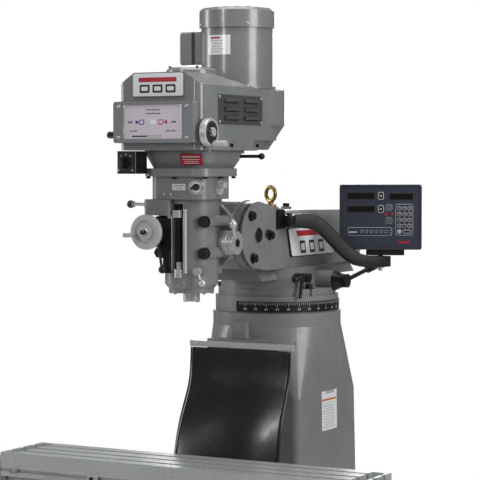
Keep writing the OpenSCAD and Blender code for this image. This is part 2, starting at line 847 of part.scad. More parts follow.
module table_handwheels() {
    x0 = table_x - table_l / 2 - 28;
    x1 = table_x + table_l / 2 + 28;
    color("silver") {
        cyl_x(13, x0 - 30, x1 + 30, table_y, lead_z);
        for (s = [-1, 1]) {
            x = s < 0 ? x0 : x1;
            translate([x, table_y, lead_z]) mirror([s < 0 ? 1 : 0, 0, 0]) {
                rotate([0, 90, 0]) rotate_extrude() polygon([[13, gap], [31, gap], [31, 22], [26, 24],
                    [26, 30], [56, 37], [62, 30], [74, 30], [77, 34], [77, 44], [74, 48], [62, 48],
                    [56, 43], [26, 40], [24, 56], [13, 56]]);
                cyl_x(5, 47, 60, 0, -68, $fn = 32);
            }
        }
    }
    color("#202020") for (s = [-1, 1]) translate([s < 0 ? x0 : x1, table_y, lead_z])
        mirror([s < 0 ? 1 : 0, 0, 0]) cyl_x(11, 60, 134, 0, -68);
}

module table_lock_levers() {
    color("#202020") {
        cyl_y(6, -640, -609, 120, 616, $fn = 32);
        cyl_y(13, -648, -615 - gap, 120, 616);
        bar([120, -640, 616], [168, -648, 607], 6);
        ball([174, -649, 606], 12);
    }
}

base();
column();
elevating_nut();
way_cover_bar();
way_cover();
turret();
turret_scale();
turret_bolts();
ram_lock_lever();
ram_drive_lever();
ram_pinion();
ram();
eye_bolt();
ram_bolts();
dro_bracket();
dro_arm();
dro_display();
adapter();
nod_pin();
head();
gear_case();
gear_housing();
belt_housing();
speed_panel();
speed_handwheel();
switch_box();
switch_knob();
drawbar_cap();
motor();
fan_cover();
terminal_box();
head_bolts();
feed_gear_case();
trip_housing();
fine_feed_handwheel();
feed_trip_lever();
feed_selector();
quill_feed_lever();
quill_lock_lever();
gear_range_lever();
brake_lever();
depth_stop_rod();
depth_stop_nut();
quill();
spindle();
drawbar();
spindle_pulley();
motor_pulley();
drive_belt();
knee();
knee_crank();
knee_screw();
knee_lock_lever();
saddle();
cross_handwheel();
saddle_lock_lever();
table();
table_brackets();
table_handwheels();
table_lock_levers();
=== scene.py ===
# Turret milling machine: paint and metal finishes, plates, dials, screws and the rubber way cover
import bpy
import bmesh
import math
from mathutils import Matrix, Vector


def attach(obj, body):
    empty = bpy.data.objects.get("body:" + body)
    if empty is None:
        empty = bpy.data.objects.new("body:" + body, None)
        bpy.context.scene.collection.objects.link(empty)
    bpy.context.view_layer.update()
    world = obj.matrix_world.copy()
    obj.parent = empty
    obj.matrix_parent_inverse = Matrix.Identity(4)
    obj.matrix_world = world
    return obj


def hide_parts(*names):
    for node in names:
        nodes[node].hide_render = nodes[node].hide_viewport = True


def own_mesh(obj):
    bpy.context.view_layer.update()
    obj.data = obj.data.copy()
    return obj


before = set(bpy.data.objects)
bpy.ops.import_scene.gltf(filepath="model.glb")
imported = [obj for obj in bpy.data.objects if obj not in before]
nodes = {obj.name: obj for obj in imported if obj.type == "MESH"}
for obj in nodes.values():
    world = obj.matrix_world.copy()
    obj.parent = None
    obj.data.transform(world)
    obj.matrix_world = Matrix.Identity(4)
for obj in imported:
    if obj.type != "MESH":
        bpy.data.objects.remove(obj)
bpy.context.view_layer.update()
spindleY, motorY = -0.553, -0.270  # upright axes of the spindle and the motor
nodY, nodZ = -0.356, 1.403  # axis of the nod pin across the ram's cheeks
print("frame loaded:", len(nodes), "nodes")


# small tools for shapes

def planeAt(origin, normal, up=(0, 0, 1), turn=0.0):
    z = Vector(normal).normalized()
    x = Vector(up).cross(z).normalized()
    y = z.cross(x)
    m = Matrix((x, y, z)).transposed().to_4x4()
    return Matrix.Translation(Vector(origin)) @ m @ Matrix.Rotation(turn, 4, "Z")


def addRing(bm, points):
    return [bm.verts.new(p) for p in points]


def bridge(bm, low, high, finish, closed=True):
    n = len(low)
    for i in range(n if closed else n - 1):
        f = bm.faces.new((low[i], low[(i + 1) % n], high[(i + 1) % n], high[i]))
        f.material_index = finish
        f.smooth = True


def cap(bm, ring, finish, flip=False):
    f = bm.faces.new(ring[::-1] if flip else ring)
    f.material_index = finish
    return f


def roundedOutline(w, h, r, steps=5):
    points = []
    for cx, cy, a0 in ((w / 2 - r, h / 2 - r, 0), (-w / 2 + r, h / 2 - r, 90),
                       (-w / 2 + r, -h / 2 + r, 180), (w / 2 - r, -h / 2 + r, 270)):
        for i in range(steps + 1):
            a = math.radians(a0 + 90 * i / steps)
            points.append((cx + r * math.cos(a), cy + r * math.sin(a)))
    return points


def addSlab(bm, place, outline, thick, edge=0.0004, finish=0):
    # a flat plate on the local XY plane, its upper edge eased
    n = len(outline)
    inner = []
    for i in range(n):
        a, b, c = (Vector(outline[(i + k) % n]) for k in (-1, 0, 1))
        d1, d2 = b - a, c - b
        n1 = Vector((d1.y, -d1.x)).normalized() if d1.length > 1e-9 else Vector((0, 0))
        n2 = Vector((d2.y, -d2.x)).normalized() if d2.length > 1e-9 else n1
        m = n1 + n2
        m = m.normalized() if m.length > 1e-9 else n2
        inner.append(b - m * edge)
    rings = []
    for pts, z in ((outline, 0), (outline, thick - edge), (inner, thick)):
        rings.append(addRing(bm, [place @ Vector((p[0], p[1], z)) for p in pts]))
    for low, high in zip(rings, rings[1:]):
        bridge(bm, low, high, finish)
    cap(bm, rings[-1], finish)
    cap(bm, rings[0], finish, True)


def addLathe(bm, place, profile, steps=32, finish=0, start=0.0, sweep=360.0):
    # profile is (radius, height) from the bottom up, turned about the local Z axis
    closed = sweep >= 360
    count = steps if closed else steps + 1
    rings = []
    for r, z in profile:
        rings.append(addRing(bm, [place @ Vector((r * math.cos(a), r * math.sin(a), z)) for a in
                                  (math.radians(start + sweep * i / steps) for i in range(count))]))
    for low, high in zip(rings, rings[1:]):
        bridge(bm, low, high, finish, closed)
    if closed:
        cap(bm, rings[-1], finish)
        cap(bm, rings[0], finish, True)


def addTube(bm, points, radius, steps=12, finish=0):
    points = [Vector(p) for p in points]
    rings, x = [], None
    for i, p in enumerate(points):
        d = (points[min(i + 1, len(points) - 1)] - points[max(i - 1, 0)]).normalized()
        if x is None:
            x = d.orthogonal().normalized()
        x = (x - d * x.dot(d)).normalized()
        y = d.cross(x)
        r = radius[i] if isinstance(radius, (list, tuple)) else radius
        rings.append(addRing(bm, [p + r
                                  * (x * math.cos(2 * math.pi * k / steps) + y * math.sin(2 * math.pi * k / steps))
                                  for k in range(steps)]))
    for low, high in zip(rings, rings[1:]):
        bridge(bm, low, high, finish)
    cap(bm, rings[-1], finish)
    cap(bm, rings[0], finish, True)


def addBox(bm, place, w, h, z0, z1, finish=0):
    addSlab(bm, place @ Matrix.Translation((0, 0, z0)),
            [(w / 2, -h / 2), (w / 2, h / 2), (-w / 2, h / 2), (-w / 2, -h / 2)],
            z1 - z0, min(w, h, z1 - z0) * 0.12, finish)


def addText(bm, place, words, size, finish=0, thick=0.00012):
    curve = bpy.data.curves.new("lettering", "FONT")
    curve.body, curve.size, curve.extrude = words, size, thick
    curve.align_x = curve.align_y = "CENTER"
    curve.resolution_u = 2
    holder = bpy.data.objects.new("lettering", curve)
    bpy.context.scene.collection.objects.link(holder)
    bpy.context.view_layer.update()
    mesh = bpy.data.meshes.new_from_object(holder.evaluated_get(bpy.context.evaluated_depsgraph_get()))
    mesh.transform(place @ Matrix.Translation((0, 0, thick)))
    before = len(bm.faces)
    bm.from_mesh(mesh)
    bm.faces.ensure_lookup_table()
    for f in bm.faces[before:]:
        f.material_index = finish
    bpy.data.objects.remove(holder)
    bpy.data.curves.remove(curve)
    bpy.data.meshes.remove(mesh)


def addScrew(bm, place, r=0.004, h=0.0022, finish=0, dark=1):
    # a button head with a hexagon socket; the socket is a flat dark hexagon on top, painted shade in place of a
    # hollow
    addLathe(bm, place, [(r, 0), (r, h * 0.35), (r * 0.93, h * 0.68), (r * 0.72, h * 0.9), (r * 0.5, h)], 20,
             finish)
    addLathe(bm, place @ Matrix.Translation((0, 0, h)), [(r * 0.46, 0), (r * 0.44, 0.00015)], 6, dark)


def addCapScrew(bm, place, r=0.007, h=0.008, finish=0, dark=1):
    # a socket cap screw, its socket sunk into the head, with a dark hexagon on the socket's floor as painted shade
    addLathe(bm, place, [(r, 0), (r, h * 0.86), (r * 0.92, h), (r * 0.6, h), (r * 0.56, h * 0.45)], 24, finish)
    addLathe(bm, place @ Matrix.Translation((0, 0, h * 0.44)), [(r * 0.5, 0), (r * 0.5, 0.0002)], 6, dark)


def boltCircle(r, count, first=0.0):
    turns = [math.radians(first + 360 / count * k) for k in range(count)]
    return [(r * math.cos(a), r * math.sin(a)) for a in turns]


def addOiler(bm, place, r=0.005, finish=0, dark=1):
    # a ball oiler: a brass-like cup with a ball in it
    addLathe(bm, place, [(r, 0), (r, r * 0.5), (r * 0.85, r * 0.75), (r * 0.5, r * 0.72)], 20, finish)
    addLathe(bm, place @ Matrix.Translation((0, 0, r * 0.5)),
             [(r * 0.48, 0), (r * 0.4, r * 0.25), (r * 0.2, r * 0.38)], 16, dark)


def makePiece(name, build, finishes, body):
    bm = bmesh.new()
    build(bm)
    bmesh.ops.recalc_face_normals(bm, faces=bm.faces)
    mesh = bpy.data.meshes.new(name)
    bm.to_mesh(mesh)
    bm.free()
    mesh.set_sharp_from_angle(angle=math.radians(34))
    for m in finishes:
        mesh.materials.append(m)
    piece = bpy.data.objects.new(name, mesh)
    bpy.context.scene.collection.objects.link(piece)
    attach(piece, body)
    return piece


# shared effects, each built once

def newGroup(name, inputs, outputs):
    g = bpy.data.node_groups.new(name, "ShaderNodeTree")
    for label, value in inputs:
        kind = "NodeSocketColor" if isinstance(value, tuple) and len(value) == 4 else \
            "NodeSocketVector" if isinstance(value, tuple) else "NodeSocketFloat"
        s = g.interface.new_socket(name=label, in_out="INPUT", socket_type=kind)
        s.default_value = value
    for label, kind in outputs:
        g.interface.new_socket(name=label, in_out="OUTPUT", socket_type=kind)
    return g, g.nodes.new("NodeGroupInput"), g.nodes.new("NodeGroupOutput")


def math2(g, how, a, b=None, c=None, clamp=False):
    n = g.nodes.new("ShaderNodeMath")
    n.operation, n.use_clamp = how, clamp
    for i, v in enumerate((a, b, c)):
        if v is None:
            continue
        if isinstance(v, (int, float)):
            n.inputs[i].default_value = v
        else:
            g.links.new(v, n.inputs[i])
    return n.outputs[0]


def noiseOf(g, vector, scale, detail=3.0, rough=0.55):
    n = g.nodes.new("ShaderNodeTexNoise")
    n.inputs["Detail"].default_value = detail
    n.inputs["Roughness"].default_value = rough
    if vector is not None:
        g.links.new(vector, n.inputs["Vector"])
    if isinstance(scale, (int, float)):
        n.inputs["Scale"].default_value = scale
    else:
        g.links.new(scale, n.inputs["Scale"])
    return n.outputs["Fac"]


def remap(g, value, lo, hi, toLo=0.0, toHi=1.0):
    n = g.nodes.new("ShaderNodeMapRange")
    n.interpolation_type = "SMOOTHSTEP"
    g.links.new(value, n.inputs["Value"])
    for key, v in (("From Min", lo), ("From Max", hi), ("To Min", toLo), ("To Max", toHi)):
        if isinstance(v, (int, float)):
            n.inputs[key].default_value = v
        else:
            g.links.new(v, n.inputs[key])
    return n.outputs["Result"]


def buildEdgeWear():
    # where a bevelled normal leaves the true one, broken up by noise
    g, i, o = newGroup("edge wear", [("Width", 0.0015), ("Amount", 0.5), ("Breakup", 90.0)],
                       [("Mask", "NodeSocketFloat")])
    bevel = g.nodes.new("ShaderNodeBevel")
    bevel.samples = 4
    g.links.new(i.outputs["Width"], bevel.inputs["Radius"])
    geo = g.nodes.new("ShaderNodeNewGeometry")
    dot = g.nodes.new("ShaderNodeVectorMath")
    dot.operation = "DOT_PRODUCT"
    g.links.new(bevel.outputs[0], dot.inputs[0])
    g.links.new(geo.outputs["Normal"], dot.inputs[1])
    edge = remap(g, dot.outputs["Value"], 0.99, 0.86)
    coord = g.nodes.new("ShaderNodeTexCoord")
    breakup = remap(g, noiseOf(g, coord.outputs["Object"], i.outputs["Breakup"], 4.0, 0.6), 0.42, 0.62)
    g.links.new(math2(g, "MULTIPLY", math2(g, "MULTIPLY", edge, breakup), i.outputs["Amount"], clamp=True),
                o.inputs["Mask"])
    return g


def buildGrain():
    # orange peel and the soft waves of a filled casting, as one height
    g, i, o = newGroup("paint grain", [("Peel Scale", 420.0), ("Peel", 0.3), ("Wave Scale", 14.0), ("Wave", 1.0)],
                       [("Height", "NodeSocketFloat")])
    coord = g.nodes.new("ShaderNodeTexCoord")
    peel = math2(g, "MULTIPLY", noiseOf(g, coord.outputs["Object"], i.outputs["Peel Scale"], 2.0),
                 i.outputs["Peel"])
    wave = math2(g, "MULTIPLY", noiseOf(g, coord.outputs["Object"], i.outputs["Wave Scale"], 2.0),
                 i.outputs["Wave"])
    g.links.new(math2(g, "ADD", peel, wave), o.inputs["Height"])
    return g


def buildDrift():
    # slow change of shade over a surface, with a fine mottle in it
    g, i, o = newGroup("shade drift", [("Scale", 3.0), ("Mottle Scale", 60.0), ("Mottle", 0.3)],
                       [("Value", "NodeSocketFloat")])
    coord = g.nodes.new("ShaderNodeTexCoord")
    slow = noiseOf(g, coord.outputs["Object"], i.outputs["Scale"], 3.0)
    fine = noiseOf(g, coord.outputs["Object"], i.outputs["Mottle Scale"], 4.0)
    mix = math2(g, "MULTIPLY_ADD", math2(g, "SUBTRACT", fine, 0.5), i.outputs["Mottle"], slow)
    g.links.new(remap(g, mix, 0.3, 0.7), o.inputs["Value"])
    return g


def buildDust():
    # a thin veil that gathers on faces that look up
    g, i, o = newGroup("dust", [("Amount", 0.2), ("Scale", 35.0)], [("Mask", "NodeSocketFloat")])
    geo = g.nodes.new("ShaderNodeNewGeometry")
    split = g.nodes.new("ShaderNodeSeparateXYZ")
    g.links.new(geo.outputs["Normal"], split.inputs[0])
    coord = g.nodes.new("ShaderNodeTexCoord")
    patch = remap(g, noiseOf(g, coord.outputs["Object"], i.outputs["Scale"], 5.0, 0.65), 0.35, 0.7)
    up = remap(g, split.outputs["Z"], 0.35, 0.95)
    g.links.new(math2(g, "MULTIPLY", math2(g, "MULTIPLY", up, patch), i.outputs["Amount"], clamp=True),
                o.inputs["Mask"])
    return g


def buildBrushed():
    # fine lines of grinding or turning; Stretch squeezes the space along them
    g, i, o = newGroup("tool lines", [("Stretch", (1.0, 1.0, 1.0)), ("Scale", 300.0), ("Fine", 0.5)],
                       [("Value", "NodeSocketFloat")])
    coord = g.nodes.new("ShaderNodeTexCoord")
    mul = g.nodes.new("ShaderNodeVectorMath")
    mul.operation = "MULTIPLY"
    g.links.new(coord.outputs["Object"], mul.inputs[0])
    g.links.new(i.outputs["Stretch"], mul.inputs[1])
    coarse = noiseOf(g, mul.outputs[0], i.outputs["Scale"], 3.0, 0.6)
    fineScale = math2(g, "MULTIPLY", i.outputs["Scale"], 5.3)
    fine = noiseOf(g, mul.outputs[0], fineScale, 2.0, 0.6)
    g.links.new(math2(g, "MULTIPLY_ADD", fine, i.outputs["Fine"], coarse), o.inputs["Value"])
    return g


edgeWear, grain, drift, dust, toolLines = buildEdgeWear(), buildGrain(), buildDrift(), buildDust(), buildBrushed()
print("shared effects built")


# materials

def linear(r, g, b):
    return tuple(c / 12.92 if c <= 0.04045 else ((c + 0.055) / 1.055) ** 2.4 for c in (r / 255, g / 255,
                                                                                       b / 255)) + (1.0,)


def place(m, group, **values):
    n = m.node_tree.nodes.new("ShaderNodeGroup")
    n.node_tree = group
    for key, v in values.items():
        n.inputs[key.replace("_", " ")].default_value = v
    return n


def mixColour(m, factor, a, b):
    n = m.node_tree.nodes.new("ShaderNodeMix")
    n.data_type = "RGBA"
    m.node_tree.links.new(factor, n.inputs[0])
    for value, socket in ((a, n.inputs[6]), (b, n.inputs[7])):
        if isinstance(value, tuple):
            socket.default_value = value
        else:
            m.node_tree.links.new(value, socket)
    return n.outputs[2]


def material(name, colour, shade, worn, rough=(0.35, 0.5), metal=0.0, coat=0.0, wearWidth=0.0012, wear=0.4,
             peel=0.3, peelScale=420.0, wave=1.0, waveScale=14.0, bump=0.05, lines=None, lineDepth=0.0,
             dustAmount=0.15, rounding=0.0012, mottle=0.3, driftScale=3.0, gloss=0.5):
    m = bpy.data.materials.new(name)
    m.use_nodes = True
    t = m.node_tree
    surface = t.nodes["Principled BSDF"]
    surface.inputs["Coat Weight"].default_value = coat
    surface.inputs["Coat Roughness"].default_value = 0.12
    slow = place(m, drift, Scale=driftScale, Mottle=mottle)
    wearMask = place(m, edgeWear, Width=wearWidth, Amount=wear)
    veil = place(m, dust, Amount=dustAmount)
    base = mixColour(m, slow.outputs[0], colour, shade)
    base = mixColour(m, veil.outputs[0], base, linear(176, 172, 164))
    base = mixColour(m, wearMask.outputs[0], base, worn)
    t.links.new(base, surface.inputs["Base Color"])
    height = place(m, grain, Peel_Scale=peelScale, Peel=peel, Wave_Scale=waveScale, Wave=wave).outputs[0]
    roughness = remap(t, slow.outputs[0], 0.0, 1.0, rough[0], rough[1])
    if lines:
        streak = place(m, toolLines, Stretch=lines[0], Scale=lines[1])
        height = math2(t, "MULTIPLY_ADD", streak.outputs[0], lineDepth, height)
        roughness = math2(t, "MULTIPLY_ADD", math2(t, "SUBTRACT", streak.outputs[0], 0.75), 0.22, roughness)
    roughness = math2(t, "MULTIPLY_ADD", veil.outputs[0], 0.35, roughness, clamp=True)
    t.links.new(roughness, surface.inputs["Roughness"])
    surface.inputs["Metallic"].default_value = metal
    surface.inputs["Specular IOR Level"].default_value = gloss
    softened = t.nodes.new("ShaderNodeBevel")
    softened.samples = 4
    softened.inputs["Radius"].default_value = rounding
    relief = t.nodes.new("ShaderNodeBump")
    relief.inputs["Strength"].default_value = 1.0
    relief.inputs["Distance"].default_value = bump * 0.001
    t.links.new(height, relief.inputs["Height"])
    t.links.new(softened.outputs[0], relief.inputs["Normal"])
    t.links.new(relief.outputs[0], surface.inputs["Normal"])
    return m


greyPaint = dict(colour=linear(126, 128, 128), shade=linear(112, 114, 114), worn=linear(150, 152, 152))
castGrey = material("cast grey paint", **greyPaint, rough=(0.32, 0.46), coat=0.25, peel=0.35, wave=6.0,
                    waveScale=18,
                    bump=0.30, rounding=0.0022, wear=0.35, wearWidth=0.0016)
sheetGrey = material("sheet grey paint", **greyPaint, rough=(0.24, 0.34), coat=0.4, peel=0.35, wave=1.4,
                     waveScale=8,
                     bump=0.16, rounding=0.0016, wear=0.3)
columnGrey = material("column grey paint", **greyPaint, rough=(0.3, 0.42), coat=0.3, peel=0.3, wave=9.0,
                      waveScale=7,
                      bump=0.34, rounding=0.004, wear=0.3, wearWidth=0.002)
knobCream = material("handwheel light casting", linear(200, 200, 196), linear(184, 185, 180), linear(222, 222, 220),
                     rough=(0.28, 0.38), metal=0.35, peel=0.2, wave=0.3, bump=0.06, lines=((1.0, 1.0, 14.0), 260.0),
                     lineDepth=0.6, wear=0.3)
turned = material("turned bright steel", linear(206, 207, 208), linear(186, 187, 188), linear(230, 230, 230),
                  rough=(0.2, 0.32), metal=0.6, peel=0.1, wave=0.1, bump=0.04, lines=((0.6, 0.6, 12.0), 320.0),
                  lineDepth=0.5, wear=0.4, dustAmount=0.05)
ground = material("ground bar steel", linear(190, 191, 192), linear(176, 177, 178), linear(216, 216, 216),
                  rough=(0.3, 0.4), metal=0.35, peel=0.12, wave=0.2, bump=0.03, lines=((0.25, 9.0, 9.0), 240.0),
                  lineDepth=0.4, wear=0.2, dustAmount=0.02, mottle=0.1)
tableIron = material("planed table iron", linear(196, 198, 198), linear(178, 180, 180), linear(226, 226, 224),
                     rough=(0.26, 0.38), metal=0.4, peel=0.3, peelScale=260, wave=0.6, waveScale=22, bump=0.06,
                     lines=((0.12, 10.0, 7.0), 210.0), lineDepth=0.8, wear=0.6, dustAmount=0.05)
blackSteel = material("black oxide steel", linear(32, 32, 34), linear(20, 20, 22), linear(104, 102, 100),
                      rough=(0.3, 0.42),
                      metal=0.4, peel=0.3, bump=0.08, wear=0.35, wearWidth=0.0006, rounding=0.0008)
blackPlastic = material("black phenolic", linear(26, 26, 27), linear(18, 18, 19), linear(52, 52, 52),
                        rough=(0.18, 0.3),
                        coat=0.2, peel=0.25, bump=0.05, wear=0.2, rounding=0.0012)
matteBlack = material("black crinkle paint", linear(25, 25, 26), linear(18, 18, 19), linear(56, 56, 56),
                      rough=(0.36, 0.48),
                      peel=0.8, peelScale=900, bump=0.08, wear=0.2, rounding=0.0014, dustAmount=0.02, gloss=0.25)
readoutShell = material("readout shell plastic", linear(45, 47, 58), linear(38, 40, 50), linear(70, 72, 82),
                        rough=(0.42, 0.55), peel=1.0, peelScale=1100, bump=0.08, wear=0.15, wave=0.2)
readoutFace = material("readout membrane", linear(48, 51, 64), linear(42, 45, 57), linear(66, 69, 80),
                       rough=(0.34, 0.44),
                       peel=0.5, peelScale=1500, bump=0.03, wear=0.0, wave=0.1, dustAmount=0.0)
louvreGrey = material("louvre dark grey paint", linear(70, 71, 71), linear(60, 61, 61), linear(96, 97, 97),
                      rough=(0.26, 0.36),
                      coat=0.3, peel=0.3, bump=0.06, wear=0.25, rounding=0.0008, dustAmount=0.05)
darkGlass = material("dark display window", linear(16, 8, 8), linear(11, 6, 6), linear(40, 34, 34),
                     rough=(0.06, 0.12),
                     peel=0.0, bump=0.01, wear=0.0, wave=0.2, dustAmount=0.0, rounding=0.0003)
rubber = material("black rubber sheet", linear(17, 17, 18), linear(23, 23, 24), linear(48, 48, 48),
                  rough=(0.22, 0.3),
                  coat=0.15, peel=0.35, peelScale=700, wave=2.2, waveScale=7, bump=0.12, wear=0.1, wearWidth=0.001,
                  rounding=0.0006, mottle=0.3, dustAmount=0.03)
beltRubber = material("drive belt rubber", linear(30, 30, 30), linear(22, 22, 22), linear(60, 60, 60),
                      rough=(0.5, 0.65),
                      peel=0.8, peelScale=800, bump=0.1, wear=0.2)
zincYellow = material("yellow zinc plate", linear(168, 140, 84), linear(140, 116, 78), linear(196, 178, 130),
                      rough=(0.24, 0.4), metal=0.95, peel=0.5, peelScale=350, wave=1.2, waveScale=60, bump=0.1,
                      wear=0.4,
                      mottle=0.9, driftScale=24.0)
whiteEnamel = material("white enamel plate", linear(228, 229, 229), linear(218, 219, 219), linear(240, 240, 240),
                       rough=(0.2, 0.28), coat=0.3, peel=0.2, bump=0.03, wear=0.1, wave=0.3, rounding=0.0006)
paleDial = material("pale dial plate", linear(206, 196, 206), linear(200, 189, 201), linear(220, 214, 220),
                    rough=(0.26, 0.36), peel=0.2, bump=0.03, wear=0.05, wave=0.2, rounding=0.0005, dustAmount=0.0)
inkRed = material("red enamel ink", linear(176, 22, 42), linear(160, 18, 36), linear(190, 50, 62),
                  rough=(0.28, 0.38),
                  peel=0.2, bump=0.02, wear=0.05, wave=0.1, rounding=0.0003, dustAmount=0.0)
inkBlue = material("blue enamel ink", linear(40, 52, 138), linear(34, 44, 122), linear(80, 90, 160),
                   rough=(0.28, 0.38),
                   peel=0.2, bump=0.02, wear=0.05, wave=0.1, rounding=0.0003, dustAmount=0.0)
inkOrange = material("orange enamel ink", linear(206, 112, 52), linear(194, 102, 46), linear(214, 140, 90),
                     rough=(0.3, 0.4), peel=0.2, bump=0.02, wear=0.05, wave=0.1, rounding=0.0003, dustAmount=0.0)
inkDark = material("dark enamel ink", linear(36, 36, 38), linear(28, 28, 30), linear(70, 70, 70),
                   rough=(0.34, 0.44),
                   peel=0.2, bump=0.02, wear=0.05, wave=0.1, rounding=0.0003, dustAmount=0.0)
inkGrey = material("grey enamel ink", linear(172, 172, 178), linear(158, 158, 164), linear(190, 190, 190),
                   rough=(0.34, 0.44), peel=0.2, bump=0.02, wear=0.05, wave=0.1, rounding=0.0003, dustAmount=0.0)
tickWhite = material("white engraved fill", linear(206, 206, 202), linear(186, 186, 182), linear(220, 220, 220),
                     rough=(0.4, 0.5), peel=0.2, bump=0.02, wear=0.05, wave=0.1, rounding=0.0002, dustAmount=0.0)

finishOf = {
    castGrey: "turret ram adapter head gear_case gear_housing feed_gear_case knee saddle table_brackets",
    columnGrey: "base column elevating_nut",
    sheetGrey: "belt_housing speed_panel drawbar_cap motor fan_cover terminal_box",
    knobCream: "fine_feed_handwheel speed_handwheel cross_handwheel table_handwheels feed_selector "
               "gear_range_lever",
    turned: "quill spindle drawbar knee_screw ram_pinion depth_stop_nut spindle_pulley motor_pulley "
            "quill_lock_lever knee_crank quill_feed_lever nod_pin",
    ground: "way_cover_bar",
    tableIron: "table",
    blackSteel: "depth_stop_rod turret_bolts ram_bolts head_bolts ram_lock_lever ram_drive_lever turret_scale "
                "brake_lever feed_trip_lever knee_lock_lever saddle_lock_lever table_lock_levers",
    matteBlack: "trip_housing dro_bracket dro_arm",
    blackPlastic: "switch_box switch_knob",
    readoutShell: "dro_display",
    beltRubber: "drive_belt way_cover",
    zincYellow: "eye_bolt",
}
darkParts = {  # frame nodes with a second, darker colour keep two finishes
    "fine_feed_handwheel": knobCream, "speed_handwheel": blackPlastic, "cross_handwheel": blackPlastic,
    "table_handwheels": blackPlastic, "knee_crank": blackPlastic, "feed_selector": blackPlastic,
    "gear_range_lever": blackPlastic, "quill_feed_lever": blackSteel, "head_bolts": blackSteel,
    "ram_lock_lever": blackSteel, "table_brackets": blackSteel,
}
lightParts = {"head_bolts": turned, "ram_lock_lever": turned}
for finish, names in finishOf.items():
    for name in names.split():
        mesh = nodes[name].data
        tones = []
        for m in mesh.materials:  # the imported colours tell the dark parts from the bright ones
            base = m.node_tree.nodes["Principled BSDF"].inputs["Base Color"] if m and m.use_nodes else None
            tones.append(sum(base.default_value[:3]) / 3 if base else 0.5)
        for i in range(len(mesh.materials)):
            if len(tones) > 1 and name in darkParts:
                mesh.materials[i] = darkParts[name] if tones[i] < 0.08 else lightParts.get(name, finish)
            else:
                mesh.materials[i] = finish
        if not mesh.materials:
            mesh.materials.append(finish)
print("finishes on the frame done")


# rubber way cover: one sheet clamped under the bar, falling forward over the ways

wayCover = {"width": 0.36, "thick": 0.0026, "columns": 30, "rows": 44, "bow": 0.006, "flare": 0.026,
            "ripple": 0.0030}
coverLine = [(-0.2500, 1.0368), (-0.2522, 1.000), (-0.2560, 0.965), (-0.2640, 0.930), (-0.2790, 0.893),
             (-0.2960, 0.855),
             (-0.3120, 0.815), (-0.3240, 0.775), (-0.3330, 0.735), (-0.3400, 0.695), (-0.3460, 0.655),
             (-0.3520, 0.614)]


def alongLine(line, t):
    s = t * (len(line) - 1)
    i = min(int(s), len(line) - 2)
    f = s - i
    p = [Vector(line[min(max(i + k, 0), len(line) - 1)]) for k in (-1, 0, 1, 2)]
    return 0.5 * ((2 * p[1]) + (p[2] - p[0]) * f + (2 * p[0] - 5 * p[1] + 4 * p[2] - p[3]) * f * f
                  + (3 * p[1] - p[0] - 3 * p[2] + p[3]) * f ** 3)


def buildWayCover(bm):
    w, cols, rows = wayCover["width"], wayCover["columns"], wayCover["rows"]
    grid = []
    for r in range(rows + 1):
        t = r / rows
        yz = alongLine(coverLine, t)
        row = []
        for c in range(cols + 1):
            u = c / cols * 2 - 1
            free = min(1.0, t * 1.6)
            y = yz[0] - wayCover["bow"] * free * (1 - u * u) * (1 - 0.55 * t)
            y -= wayCover["flare"] * max(0.0, t - 0.35) * 1.5 * (abs(u) ** 3) * (1.0 if u < 0 else -0.45)
            y += wayCover["ripple"] * free * math.sin(3.3 * u + 5.2 * t + 0.6) * math.cos(2.1 * u - 3.0 * t)
            row.append(bm.verts.new((u * w / 2, y, yz[1])))
        grid.append(row)
    for r in range(rows):
        for c in range(cols):
            f = bm.faces.new((grid[r][c], grid[r + 1][c], grid[r + 1][c + 1], grid[r][c + 1]))
            f.smooth = True


cover = makePiece("way_cover_sheet", buildWayCover, [rubber], "frame")
solid = cover.modifiers.new("thickness", "SOLIDIFY")
solid.thickness, solid.offset = wayCover["thick"], 0.0
bpy.context.view_layer.update()
cover.data = bpy.data.meshes.new_from_object(cover.evaluated_get(bpy.context.evaluated_depsgraph_get()))
cover.modifiers.clear()
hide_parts("way_cover")
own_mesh(cover)
print("way cover sheet done")


# belt housing: front badge, louvre plate, screws and flanges

badge = {"w": 0.168, "h": 0.066, "z": 1.851, "y": -0.746, "stripe": (0.128, 0.013)}
louvre = {"y": -0.5025, "z": 1.7815, "w": 0.272, "h": 0.088, "x": 0.140}


def buildFrontBadge(bm):
    at = planeAt((0, badge["y"], badge["z"]), (0, -1, 0))
    addSlab(bm, at, roundedOutline(badge["w"], badge["h"], 0.006), 0.0022, 0.0008, 0)
    lift = at @ Matrix.Translation((0, 0, 0.00225))
    addSlab(bm, lift @ Matrix.Translation((0, 0.015, 0)), roundedOutline(*badge["stripe"], 0.001),
            0.0004, 0.0001, 1)
    for k in range(3):  # three plain bars in place of a name
        addSlab(bm, lift @ Matrix.Translation(((k - 1) * 0.044, -0.011, 0)), roundedOutline(0.034, 0.024, 0.003),
                0.0004, 0.0001, 2)
        addSlab(bm, lift @ Matrix.Translation(((k - 1) * 0.044, -0.011, 0.0004)),
                roundedOutline(0.022, 0.012, 0.002), 0.0002, 0.0001, 0)


